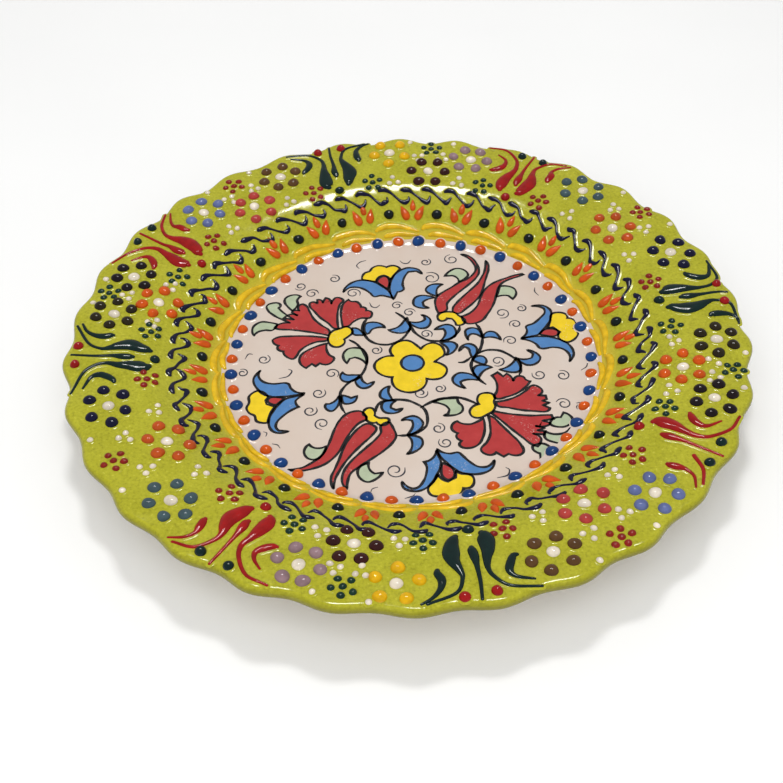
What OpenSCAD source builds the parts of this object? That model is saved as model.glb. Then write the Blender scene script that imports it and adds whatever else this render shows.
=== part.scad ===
// Hand painted ceramic plate. A scalloped clay dish with a green glazed rim, a white glazed
// well with a printed floral transfer, and raised enamel decoration laid on in beads and strokes.
// Millimetres. z = 0 is under the foot ring, +Z is up, the plate is centred on the Z axis.

/* [Plate] */
// Radius over the crests of the scalloped rim
rim_r = 91; // [82:1:100]
// Number of scallops around the rim
n_lobes = 30; // [24:1:36]
// Depth of a scallop from crest to notch
lobe_depth = 2; // [1:0.25:2.5]
// Angle of one scallop crest
lobe_turn = 6.8; // [0:0.1:12]
// Thickness of each glaze coat
glaze_t = 0.3; // [0.2:0.05:0.4]

/* [Bead rings] */
// Beads of each kind around the well
n_ring = 25; // [20:1:25]
// Diameter of the blue beads at the edge of the well
blue_d = 3.6; // [3:0.1:4.2]
// Diameter of the orange beads at the edge of the well
orange_d = 3.2; // [2.6:0.1:3.6]
// Diameter of the green beads on the collar
collar_d = 3.2; // [2.6:0.1:3.6]
// Height of the ring beads
bead_h = 1.5; // [1:0.1:1.6]
// Distance by which the painted rings lie off the plate's centre
ring_shift = 1.2; // [0:0.1:1.4]
// How much further out than a circle those rings lie in front and behind
ring_oval = 1; // [0:0.1:1.2]

/* [Strokes] */
// Number of hooked strokes in the navy wave border
n_waves = 61; // [50:1:62]
// Greatest height of a brushed enamel stroke
stroke_h = 1; // [0.6:0.1:1.2]

/* [Flowers] */
// Diameter of a flower petal
petal_d = 3.4; // [3:0.1:3.8]
// Height of a flower petal
petal_h = 1.4; // [0.8:0.1:1.5]
// Radius of the ring on which the six petals sit
petal_ring = 4.8; // [4.6:0.1:5.4]
// Diameter of a flower's white centre
centre_d = 3.2; // [2.5:0.1:3.6]
// Diameter of a rosette dot
rosette_d = 2; // [1.5:0.1:2.3]
// Radius of the ring of rosette dots
rosette_ring = 2.5; // [2.4:0.1:3]
// Diameter of the smallest white dots
tiny_d = 1.7; // [1.2:0.1:2]

/* [Hidden] */
$fn = 96;
fine_fn = 240; // for the large surfaces that small beads are cut against

// Every radius and height below is given for a rim of 91 mm and scaled to the chosen one.
s = rim_r / 91;

// Glazed top surface, [radius, height], from the centre to where the lip begins to turn
top_pts = s * [
    [0, 6.5], [49.5, 6.5], [50.5, 6.75], [51.5, 7.2], [64.8, 14.2], [66.2, 14.85],
    [67.6, 15.4], [69.3, 15.9], [72, 16.35], [76.5, 16.9], [81, 17.3], [89.5, 17.75]
];
// Glazed underside, from the lip in to the outer wall of the foot ring
under_pts = s * [[89.5, 14.75], [84, 14.45], [78, 13.9], [70.5, 12.7], [66, 10.9], [56.5, 5.9], [50.6, 2.6]];
// Bare foot ring, from the outer wall to the recess inside it
foot_pts = s * [[50, 0.5], [49.4, 0], [46, 0], [45.4, 0.5], [45, 2]];
recess_z = 2 * s;
lip_c = s * [89.5, 16.25];
lip_r = 1.5 * s;
well_r = 51.7 * s;     // edge of the white glaze, about the painted rings' centre
under_edge = under_pts[1][0]; // where the green glaze ends under the rim
stroke_limit = 88.6 * s; // strokes stop short of the lip

// Eight tulip sprays, alternately green and red: their angles, and how far out each was set
tulip_a = [-174.5, -120, -80, -32, 8, 62.5, 105.5, 151];
tulip_out = [-0.2, 0.7, 0.9, 0.2, 3.2, 1, 1.6, -0.2];

// Strokes of a spray: [sideways, outward, half width], tip to tail
green_spray = [
    [[-4.3, 68.9, 0.9], [-4.45, 69.5, 1.6], [-4.7, 71.2, 2.15], [-4.3, 74, 1.7], [-3.8, 76.6, 1.15],
     [-3.3, 79.4, 0.7], [-3.9, 82.3, 0.58], [-7, 85.4, 0.52], [-14, 87.9, 0.42]],
    [[1.6, 68.7, 0.8], [1.9, 69.4, 1.3], [2.7, 71.2, 1.8], [3.6, 73.7, 2.2], [3.4, 76.3, 1.7],
     [2.5, 78.9, 1], [2.4, 81.3, 0.6], [4.6, 84.6, 0.52], [11.5, 88, 0.45]],
    [[-1, 72.9, 0.7], [-1, 73.7, 1.05], [-0.9, 75.6, 1.1], [-0.7, 78.4, 0.65], [-0.4, 83, 0.5],
     [0.2, 88.5, 0.42]],
    [[-10.4, 76.9, 0.6], [-9.8, 77.3, 0.9], [-8.5, 78.8, 1.1], [-7.6, 81, 1.05], [-8.6, 83, 0.65],
     [-12.5, 84.6, 0.4]],
    [[7.6, 78.2, 0.7], [7.5, 78.9, 1.05], [7.3, 80.8, 1.15], [8, 83.2, 0.8], [10, 85.3, 0.55],
     [12.6, 86.8, 0.4]]
];
red_spray = [
    [[-3.4, 69.5, 0.85], [-3.5, 70.1, 1.5], [-3.8, 72, 2.05], [-3.7, 74.6, 1.75], [-3, 77.6, 1.1],
     [-2.8, 80.4, 0.8], [-4.2, 83.6, 0.6], [-8.6, 86.8, 0.52], [-14.5, 88, 0.42]],
    [[2, 69.5, 0.85], [2.3, 70.1, 1.4], [3.2, 71.8, 1.9], [4, 74.3, 2.15], [3.8, 76.8, 1.65],
     [3, 79.6, 0.9], [3.2, 82.4, 0.6], [6.2, 86, 0.52], [11, 88, 0.42]],
    [[0, 73.1, 0.7], [0, 73.8, 1.1], [-0.1, 75.6, 1.25], [-0.1, 78, 0.75], [-0.1, 81, 0.55],
     [0.2, 88.5, 0.42]],
    [[-9.8, 76.3, 0.6], [-9.1, 76.9, 1], [-7.6, 78.3, 1.15], [-6.9, 80.4, 0.85], [-7.8, 82.2, 0.55],
     [-10.5, 83.8, 0.35]],
    [[8.7, 78.1, 0.7], [8.6, 78.8, 1.05], [8.5, 80.6, 1.15], [8.1, 82.6, 0.65], [9.6, 84.8, 0.5],
     [12.6, 86.8, 0.35]]
];
// On one red spray the fat end of the second stroke is missing and only its tail is left
broken_spray = 3;
broken_stroke = 1;
broken_from = 6;
green_spray_dots = [[-3.8, 87.2], [3.6, 87]]; // red, at the outer end
red_spray_dots = [[-3.5, 87], [3.7, 87]];     // dark green, at the outer end
green_spray_tip = [-1.6, 67.2];
red_spray_tip = [-0.6, 67];
spray_dot_d = 2.8;

// Flowers between two sprays: degrees in from the sprays for the outer two, and their radii
flower_r = [81, 71.3, 81];
flower_in = 7.4;
flower_in_per_gap = 0.12;
// How much further out the middle flower of each gap was set, and the yellow flowers
middle_out = [-0.4, 0.7, 0.8, 0.6, 2.6, 2.4, 1.8, -0.8];
yellow_out = 1.8;
yellow_set = 1;         // the colour set that has the yellow flower
// Width of a flower against its height: in the widest gaps the flowers are broader
width_least = 0.55;
width_per_gap = 0.0125;
rosette_in = 7.6;
rosette_r = [70, 84.9, 70];
tiny_at = [[0.32, 70], [0.7, 70]]; // threes: [share of the gap, radius]
tiny_middle_r = 79.8;   // threes between the outer flowers, two in a wide gap
tiny_middle_per_out = 0.3;
tiny_middle_per_gap = 0.16;
tiny_middle_less = 4.2;
wide_gap = 37.5;
wide_per_out = 2;
tiny_turn = 60;         // the second of the two threes is turned by this
tiny_single_r = 87.7;   // single dots beside the outer rosette, further apart in a wide gap
tiny_single_per_gap = 0.15;
tiny_single_less = 1.8;
tiny_pitch = 1.6;       // radius of a group of three
n_colour_sets = 4;      // the flower colours repeat after four gaps
n_petals = 6;
n_rosette = 5;
centre_h = 1.1;
small_h = 0.8;
flower_shift = 0.8;     // how far the flowers' rings lie off the plate's centre

// Ring radii and angles
well_bead_r = 49.9;
blue_turn = 13.2;
orange_turn = 20.4;
collar_bead_r = 58.1;
collar_turn = 8.3;
collar_petal_turn = 15.5;
wave_turn = 2;

// Teardrops on the collar: [radius, turn, lean, size]
collar_petal_at = [[57.6, 1.75, 22, 1], [57.6, -1.75, -22, 1], [60, 0, 0, 0.78]];
collar_petal_len = 4.5;
collar_petal_w = 1.25;
petal_sunk = 0.3; // depth of a teardrop's axis under the glaze

// Strokes repeated around the collar and border: [sideways, outward, half width]
outer_arc =
    [[-3.9, 53.8, 0.5], [-3, 54.4, 0.85], [-0.4, 54.9, 0.95], [3, 54.6, 0.8], [6.2, 53.7, 0.6],
     [8.8, 52.7, 0.4]];
inner_arc =
    [[-1.4, 52, 0.5], [-0.2, 52.4, 0.75], [2.6, 52.5, 0.75], [5.6, 52, 0.6], [8.4, 51.5, 0.4]];
wave_stroke =
    [[-0.3, 65.4, 0.55], [0.5, 65.7, 0.85], [1.8, 65.5, 0.72], [3.2, 64.5, 0.45], [4.9, 62.8, 0.42],
     [6.3, 61.7, 0.62], [7.3, 61.5, 0.78], [8.2, 62.2, 0.5], [8.6, 63, 0.28]];

// Printed transfer on the floor of the well: one flat layer for each printed colour, [x, y] outlines
film_t = 0.1;
daisy = [
    [1.3, 7], [-0.1, 7.5], [-2.2, 6.9], [-3.8, 5.5], [-4.5, 3.4], [-3.5, 1.2], [-5.2, 1.3], [-7, 0.5],
     [-8.4, -1],
    [-8.8, -2.8], [-7.9, -5], [-6, -6.5], [-3.9, -7], [-3.9, -9.3], [-2.7, -11.5], [-0.6, -12.7],
     [1.6, -12.8], [3.8, -11.7],
    [5.1, -9.7], [5.3, -7.7], [7, -8.1], [9.2, -7.6], [10.6, -5.9], [10.8, -3.8], [9.5, -2.2], [7.6, -1.3],
    [9, 0.1], [10.3, 1.3], [10.4, 3.1], [9.5, 5.2], [7.4, 6.3], [5.4, 5.6], [4, 3.9], [2.7, 5.6]
];
daisy_eye = [1.6, -1.6];
daisy_eye_r = 3.1;
carnation_petals = [
    [[-17.8, 13.6], [-18.3, 16.7], [-18.5, 20.3], [-18, 23.2], [-16.5, 25.2], [-15.6, 24.4],
     [-14.2, 24.3], [-13.2, 23.2],
     [-12.8, 21.9], [-11.5, 21.4], [-11.3, 20.3], [-10, 19.9], [-9.6, 18.7], [-10.3, 17.2], [-12.7, 17.1],
     [-14.9, 15.6], [-16.2, 13.9]],
    [[-19, 12.9], [-19.4, 16], [-19.4, 20.3], [-18.9, 23.2], [-18, 24.9], [-18.9, 26], [-20.1, 26.2],
     [-20.8, 25.4], [-21.4, 23.2],
     [-21.9, 25.4], [-23.1, 26.1], [-23.5, 25.2], [-23.9, 23.7], [-24.4, 25.2], [-25.5, 25.4],
     [-25.4, 23.6], [-26.3, 24.4],
     [-27.4, 24.2], [-27.6, 22.8], [-26.1, 20.3], [-24.3, 17.6], [-21.9, 15.1], [-20.2, 13]],
    [[-21.5, 11.9], [-23.9, 14.4], [-26.1, 17.1], [-27.5, 20.3], [-28.4, 22.6], [-29.6, 23.6],
     [-30.8, 22.7], [-30.2, 20.5],
     [-31.9, 20.9], [-32.5, 20.1], [-30.7, 18.5], [-32.9, 19.3], [-33.6, 18.6], [-31.6, 16.9],
     [-34, 17.5], [-34.5, 16.7],
     [-32.6, 15.5], [-35.8, 15.2], [-37, 13.6], [-36.1, 13.1], [-32.5, 12.7], [-28.6, 12], [-25, 11.1],
     [-21.8, 10.1]],
    [[-21.9, 9], [-24.6, 9.6], [-28.6, 10], [-32.5, 10], [-35.8, 9.7], [-37.3, 8.6], [-36.7, 7],
     [-35.4, 6.3], [-35.7, 5],
     [-34, 3.9], [-33.8, 2.8], [-32.4, 1.2], [-31.1, 0.8], [-30.3, 1.8], [-29.5, 3.9], [-27.5, 6.1],
     [-25, 7.5], [-22, 8.2]],
    [[-22.1, 6.8], [-24, 6.1], [-26.8, 4.5], [-28.8, 2.6], [-29.4, 0.6], [-29, -1.2], [-27.4, -2.9],
     [-25.9, -1.3],
     [-24.8, -2.2], [-23.7, -1.1], [-21.6, -1.6], [-20.2, -0.4], [-19.9, 0.9], [-21.2, 2.1], [-22, 4]],
    [[23.1, -15.2], [23.9, -12.8], [24, -9.9], [22.9, -7], [24.5, -5.8], [25.9, -7.4], [26.9, -6.4],
     [27.9, -7.4], [28.5, -9.5],
     [29.7, -7.4], [31.3, -7.7], [31.9, -8.8], [33, -9.4], [31.5, -11.7], [29, -13.9], [26.1, -15.2],
     [23.9, -15.8]],
    [[23.5, -16.9], [26.5, -16.2], [29.3, -14.8], [31.5, -13], [33.5, -11], [35.1, -11.6], [35.9, -13.3],
     [34.4, -14.8],
     [36.6, -14.9], [36.8, -16.2], [35.5, -16.8], [37.5, -17.5], [35.6, -18.4], [37.3, -19.5],
     [36.5, -20.6], [33.3, -20.5],
     [29.7, -20], [26.5, -19.1], [23.7, -18.3]],
    [[22.7, -20.3], [25.4, -21.1], [28.6, -21.7], [32.2, -22.1], [35.8, -22], [37.5, -22], [37.8, -23.4],
     [34.9, -24],
     [36.9, -24.8], [36.2, -25.7], [32.8, -25.7], [35.4, -26.6], [33.1, -27.4], [35.3, -27.7],
     [34.9, -28.8], [31.8, -28.5],
     [34, -30], [33.8, -31.5], [32.9, -32.9], [31.3, -32], [29.3, -29.7], [26.8, -26.8], [24.5, -23.9],
     [22.1, -21.2]],
    [[21.1, -22], [21.3, -25], [21.2, -28.3], [20.2, -31.1], [18.5, -33.7], [19.1, -34.9], [20.9, -35.6],
     [22.3, -34.8],
     [24.1, -36.2], [25.4, -35.3], [27.9, -35.8], [29.2, -34.7], [28.4, -31.5], [26.5, -28.6],
     [24.3, -25.4], [22, -22.3]],
    [[19.7, -22.8], [18.2, -23.9], [16.2, -24.8], [14, -24.5], [12.9, -23.7], [11.6, -24.8],
     [11.4, -26.5], [12.9, -27.9],
     [12.5, -29.4], [13.9, -30.6], [13.1, -31.9], [13.9, -32.9], [16.2, -33], [18, -31.9], [19.3, -29.3],
     [19.9, -26.1]]
];
print_tulips = [
    [[9.2, 18.9], [8.6, 21.4], [8.5, 23.9], [9.2, 26.1], [11.3, 28.2], [13.5, 30], [15.7, 32],
     [18.2, 33.6], [19.8, 35.4],
     [20.9, 37.9], [20.3, 40.8], [18.9, 43.2], [16.7, 45.1], [18.5, 44.6], [20.2, 43], [21.3, 40.5],
     [21.8, 37.9], [21.6, 35.8],
     [20.5, 33.6], [18.2, 30.7], [15.7, 27.9], [13.5, 25.3], [11.9, 22.8], [11.6, 19.9]],
    [[13.6, 19], [13.5, 20.8], [14.8, 23.2], [16.9, 26.1], [19.3, 29.1], [21.1, 31.5], [22.3, 34],
     [23.3, 36.5], [23.8, 39],
     [24, 42.1], [24.7, 40.1], [24.6, 37.6], [23.9, 34.7], [23.1, 31.5], [22.3, 28.2], [21.1, 25.3],
     [19.1, 22.5], [16.9, 20.1], [15.2, 18.5]],
    [[16, 17.2], [18.2, 18.5], [20, 20.7], [21.1, 23.2], [21.6, 25.3], [22.7, 27.9], [23.9, 29.8],
     [26.1, 31.8], [29, 33.4],
     [32.2, 34.9], [35.6, 35.6], [33.3, 34.3], [30.4, 33], [28.3, 31.5], [27.1, 29.7], [26.3, 26.8],
     [25.7, 23.9], [24.7, 21],
     [23.2, 18], [21.6, 15.4], [19.6, 14.2], [17.1, 14.2]],
    [[-12, -19.7], [-13.8, -19.5], [-16, -20.5], [-17.8, -22.9], [-19, -26.1], [-19.8, -29.3],
     [-20.7, -32.4], [-21.9, -34.9],
     [-24.1, -37.1], [-26.8, -38.9], [-30.4, -39.5], [-27.1, -39.9], [-23.9, -39.2], [-21, -37.8],
     [-18.7, -35.5], [-17.1, -32.8],
     [-16, -29.7], [-14.5, -26.5], [-12.7, -23.9], [-10.8, -22.7]],
    [[-9, -24.6], [-10.6, -24.1], [-12.6, -25.5], [-14.2, -27.7], [-15.6, -30.4], [-16.7, -33.5],
     [-17.5, -36.5], [-18.4, -39.4],
     [-19.3, -42.5], [-18.5, -46.1], [-18.2, -42.7], [-17.2, -40], [-15.8, -37.1], [-13.8, -34],
     [-11.5, -31], [-9.3, -28.3], [-8.1, -25.7]],
    [[-6.9, -24.9], [-6.9, -27.2], [-8.2, -29.5], [-10.2, -31.9], [-12.2, -34.2], [-14.2, -36.7],
     [-15.8, -39.4], [-16.5, -41.9],
     [-16.3, -44.5], [-15.2, -46], [-15.1, -43.4], [-14.4, -41], [-12.4, -38.9], [-9.5, -36.5],
     [-6.6, -34], [-4.1, -31.1],
     [-3, -28.6], [-3.6, -26.1], [-4.7, -23.6]]
];
drops = [
    [[-8.2, 33.2], [-7.6, 34.6], [-6.4, 35.4], [-5.4, 35], [-4.7, 33.3], [-4.8, 31], [-5.2, 29.7],
     [-6.5, 31]],
    [[37.1, 9.2], [38.7, 10.9], [40.9, 11.3], [42.5, 10.2], [42, 8.6], [40.9, 8.2], [38.7, 8.6]],
    [[8.7, -38.1], [10.6, -39.4], [11.5, -41.2], [11, -43], [9.7, -43.6], [8.5, -42.5], [8.2, -40.6]],
    [[-37, -15.3], [-36.5, -14.1], [-34.6, -13.9], [-32.7, -14.3], [-33.9, -15.9], [-34.7, -16.6],
     [-36.1, -16.2]]
];
crowns = [
    [[-12.6, 34], [-12.6, 35.8], [-11.8, 37.2], [-10.6, 37.8], [-9.7, 39.4], [-8.4, 40.3], [-7, 40.3],
     [-5.5, 39.6], [-4.1, 40.3],
     [-2.7, 40.1], [-1.5, 38.8], [-3.4, 35.8], [-4.4, 33.6], [-5.2, 35.2], [-6.4, 35.9], [-7.9, 35],
     [-8.6, 33]],
    [[41.3, 17.4], [43, 18.1], [45.2, 17.4], [45.5, 15.6], [47.3, 14.9], [47.9, 12.7], [47, 11.3],
     [47.9, 9.5], [47, 7.3], [44.8, 5.7],
     [44, 5.8], [42.3, 7.6], [43, 9.9], [41.1, 11.9], [39.6, 11.6], [40.6, 14.2]],
    [[4.8, -46.3], [5.3, -48.2], [7.4, -49], [10.3, -49], [12.4, -48.4], [13.5, -46.4], [15.3, -46.1],
     [16.2, -44.5], [15.8, -42.4],
     [12.9, -41.5], [11.9, -40.7], [11.7, -42.9], [9.8, -44.2], [8, -43], [7.4, -41.6], [6.3, -44]],
    [[-39.9, -11.4], [-41.2, -12.1], [-42.1, -13.5], [-41.9, -15.7], [-42.4, -17.8], [-41.5, -19.6],
     [-40.1, -20.5], [-39.4, -22.5],
     [-37.6, -23.2], [-36.4, -23.1], [-36.3, -21.1], [-34.9, -17.3], [-37.2, -16.4], [-37.6, -15],
     [-37, -13.8]]
];
calyces = [
    [[-16.9, 13.6], [-15.4, 12.7], [-15.1, 10.9], [-16.3, 9.4], [-17.3, 8.4], [-17.2, 6.8], [-18.5, 5.4],
     [-20.3, 5.5], [-21.6, 7.2],
     [-21.7, 9.5], [-20.7, 11.8], [-18.5, 12.9]],
    [[21.1, -13.5], [19.3, -14], [18.5, -15.7], [18.8, -17.6], [17.1, -18.6], [16.3, -20.3],
     [16.9, -22.1], [18.7, -22.6], [20.5, -21.7],
     [22.3, -20.3], [23.1, -18.5], [22.8, -16.9], [23.2, -15.3], [22.5, -13.9]],
    [[9.1, 16.2], [9.2, 18], [10.3, 18.9], [12.2, 19.2], [14, 18.7], [15.1, 17.4], [16.5, 16],
     [16.6, 14.5], [15.5, 13.5], [14.1, 13.6],
     [13.8, 14.9], [13, 16.2], [11.7, 16.4], [10.7, 15.4], [9.8, 15.4]],
    [[-11.5, -19.6], [-10.6, -18.5], [-9.3, -18.5], [-8.6, -19.6], [-8.6, -21.1], [-7.3, -22.1],
     [-6, -22.1], [-5, -22.4], [-4.9, -23.7],
     [-5.9, -24.7], [-7.3, -24.5], [-8.1, -23.6], [-9.1, -23.8], [-10.6, -22.9], [-10.8, -21.4],
     [-11.5, -20.8]]
];
blossom_leaves = [
    [[-18.1, 28.4], [-17.6, 30.4], [-16, 32.5], [-13.8, 33.7], [-11.3, 33.8], [-8.8, 32.7], [-6.6, 30.7],
     [-4.9, 28.7], [-3.8, 25.6],
     [-4.8, 26.1], [-7, 26.8], [-9.1, 26.4], [-10.2, 27.9], [-12, 29.7], [-13.8, 30.6], [-16, 30.6],
     [-17.3, 29.6]],
    [[-3.5, 25], [-4.5, 28.6], [-4.5, 31.8], [-3.4, 35.4], [-1.6, 37.9], [0.6, 39.1], [2.8, 38.9],
     [4.2, 38], [5, 36.2],
     [3.3, 37.6], [1, 37.3], [-0.3, 34.7], [-0.8, 31.6], [-0.6, 29.2], [-2.3, 28.3]],
    [[35.8, 21], [38, 21.4], [40, 20.7], [41.2, 18.9], [41, 16.3], [40, 13.5], [38.3, 10.9], [36.8, 9],
     [34.4, 8.2], [31.9, 7.6],
     [33.3, 9.1], [33.8, 10.6], [33.7, 12.4], [35.8, 13.6], [38, 16], [39.4, 18.1], [39.3, 19.9], [38, 20.7]],
    [[31.8, 7.2], [34, 7.9], [36.9, 8.2], [39.8, 8], [42.3, 6.9], [44.5, 5.2], [45.7, 2.7], [45.7, 0.5],
     [44.2, -2.2], [44.5, 0.9],
     [43, 3], [40.5, 3.7], [36.9, 3.4], [35.8, 5.2], [34, 6.6]],
    [[7.3, -33.1], [8.5, -34.3], [10.6, -34.9], [12.8, -34.6], [13.7, -35.6], [15.3, -37.6],
     [17.5, -39.4], [19.6, -39.5], [21.1, -38.3],
     [21.7, -37.2], [21.4, -39.1], [20.3, -40.7], [18.2, -41.7], [15.7, -41.9], [13.1, -41.2],
     [11.3, -39.8], [9.9, -38.3], [8.2, -36], [7.6, -34.4]],
    [[7.1, -33.6], [6.7, -35.5], [5.6, -36.9], [4, -37.6], [4.6, -39.1], [4.5, -41.2], [3.8, -43.7],
     [2.3, -45.9], [0.9, -46.3],
     [-0.5, -45.4], [-1.6, -43.9], [-1.3, -45.9], [0.2, -46.9], [2.3, -47.1], [4.4, -46.1], [5.9, -44.3],
     [7.1, -41.9], [8, -39.4],
     [8.2, -37.6], [7.7, -35.6]],
    [[-39.6, -3.4], [-40.6, -4.7], [-41.4, -6.7], [-41.2, -8.5], [-40.1, -10.6], [-38.3, -12.7],
     [-36.1, -13.6], [-33.3, -13.7],
     [-30.4, -13.4], [-28.6, -12.9], [-27.1, -12.4], [-29.7, -12], [-31.1, -10.6], [-32, -8.8],
     [-34, -8.8], [-36.1, -8.8],
     [-38.3, -8.2], [-39.6, -7], [-40.2, -5.2]],
    [[-27.3, -12.9], [-28.6, -14], [-29.6, -15.3], [-29.3, -16.7], [-28.6, -17.6], [-30.7, -18.9],
     [-32.5, -20.7], [-34, -22.9],
     [-34.2, -24.7], [-33.3, -26], [-30.7, -26.3], [-32.9, -26.9], [-34.8, -26.3], [-36, -24.3],
     [-36.1, -21.8], [-35.4, -19.3],
     [-34, -16.6], [-32.2, -14.6], [-29.7, -13.7]]
];
vine_leaves = [
    [[9.2, 26.2], [6.7, 27.5], [5.9, 28.9], [6.5, 30.4], [7.7, 31.3], [9.5, 31.5], [11, 31.3], [9.5, 30],
     [9, 28.2]],
    [[8.6, 25.4], [6.7, 26.2], [4.5, 26.5], [2.9, 25.7], [2.2, 23.9], [2.5, 22.1], [3.8, 21.2], [6.7, 21],
     [5.2, 21.9], [4.9, 23.4], [5.9, 24.5]],
    [[0.7, 15.4], [2.7, 14.9], [4.5, 15.3], [5.4, 16.2], [5.2, 17.4], [4.3, 18.1], [5.9, 17.4], [6.9, 16],
     [6.8, 14.2], [5.8, 12.7],
     [4, 12.4], [2.2, 13.4]],
    [[-5, 12], [-3, 12.6], [-1.6, 13.8], [-0.4, 15.9], [0.3, 17], [1, 14.5], [0.9, 11.7], [-0.9, 10.6],
     [-3.4, 10.9]],
    [[-11.2, 10.5], [-11.8, 13], [-11.3, 14.7], [-9.5, 15.3], [-7.3, 14.7], [-5.9, 12.9], [-7.7, 13.1],
     [-9.5, 12.3], [-10.6, 10.6]],
    [[-15, 13], [-13.5, 12.6], [-12.4, 11.3], [-11.6, 10], [-13.1, 10], [-14.6, 10.3]],
    [[7.9, 11.7], [9.5, 13.1], [11.3, 13.8], [13, 13.2], [13.9, 11.3], [13.7, 9.1], [12.4, 8.1],
     [10.8, 7.4], [9.4, 7], [10.6, 8.8],
     [11, 10.6], [10.4, 12]],
    [[9.4, 6.3], [11, 6.6], [12.8, 6.5], [14, 5.2], [13.5, 3.4], [12.2, 1.9], [10.6, 1.2], [11.5, 2.7],
     [11.3, 4.1]],
    [[17.3, 7], [16.6, 9.5], [16.7, 11.3], [18.2, 12.2], [20, 11.7], [20.9, 9.9], [21, 8.2], [19.6, 9.5],
     [18.2, 9.7], [17.4, 8.8]],
    [[21.5, 8], [21.8, 9.5], [23.2, 10.6], [24.8, 10.2], [25.7, 8.8], [26.3, 7], [25, 7.9], [23.6, 8.3]],
    [[14.4, 2.7], [15.3, 4.8], [16.9, 5.7], [18.5, 5.2], [19.4, 3.7], [19.1, 1.6], [17.9, 0.2],
     [17.5, 1.9], [17.1, 3.7], [16, 4.5]],
    [[-0.2, -28.2], [0.9, -26.5], [1.4, -24.7], [1.1, -23.2], [-0.2, -22.9], [-1.6, -23.2], [-0.2, -22],
     [1.6, -21.6], [3.2, -22.5],
     [4, -24.3], [3.4, -26.1], [1.9, -27.5]],
    [[0, -28.6], [2, -28.7], [3.4, -29.5], [3.8, -31.1], [3.1, -32.9], [1.4, -34.2], [-0.4, -34.9],
     [0.7, -33.5], [1.1, -31.5], [0.8, -29.7]],
    [[19.4, -8.7], [18.2, -7], [16, -5.9], [13.9, -5.9], [12.4, -7.6], [12.4, -9.2], [13.5, -10.6],
     [15.7, -11.7], [14.6, -10.3],
     [14.4, -9.2], [15.7, -8.5], [17.8, -8.4]],
    [[19.3, -8], [18.2, -6.3], [18, -4.5], [18.9, -3.2], [21.1, -2.9], [23.2, -3.8], [21.1, -4.9],
     [20, -6.3]],
    [[18, -0.7], [19.6, 0.7], [21.1, 0.4], [21.8, -1.2], [21.2, -2.6], [19.6, -2]],
    [[25, -4.7], [27.2, -3.8], [29, -2], [29.9, -0.2], [30.8, -1.6], [31, -3.8], [30.1, -5.6],
     [27.9, -5.8], [26.1, -5.2]],
    [[30.1, -0.4], [32.2, -0.9], [34.2, -0.3], [34.7, 1.2], [33.1, 2.8], [35.5, 1.6], [36.5, -0.2],
     [36.2, -1.4], [34.7, -2.9],
     [32.6, -3.1], [31, -1.7]],
    [[-17.4, -4.9], [-18, -6.5], [-17.2, -8.1], [-15.6, -8.5], [-13.9, -7.6], [-12.8, -5.9],
     [-14.5, -5.9], [-16.3, -5.8]],
    [[-13.8, -8.1], [-13.5, -9.5], [-12, -11], [-10.2, -10.6], [-8.8, -8.6], [-10.6, -9.4], [-11.7, -8.5],
     [-12.3, -6.9]],
    [[-21.4, -16.7], [-21.7, -17.5], [-21, -18.9], [-19.8, -19.3], [-18.5, -17.8], [-17.9, -15.3],
     [-18.1, -13.7], [-19.2, -15.7], [-20.7, -16.7]],
    [[-17.2, -13.6], [-17.3, -15.3], [-16.7, -16.6], [-15.3, -16.7], [-14, -16], [-13.3, -13.9],
     [-14.9, -14.6], [-16.2, -13.9]],
    [[-4.6, -10.4], [-6.3, -11.3], [-7.2, -13.1], [-7, -14.6], [-5.5, -15.6], [-3.8, -15.6],
     [-4.5, -14.2], [-5, -12.4]],
    [[-2.9, -16], [-4.1, -17.1], [-4.3, -18.5], [-3, -19.3], [-1.2, -18.7], [-2.3, -20], [-4.1, -20.5],
     [-5.9, -20], [-6.8, -18.2],
     [-6.3, -16.4], [-4.8, -15.9]]
];
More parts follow.
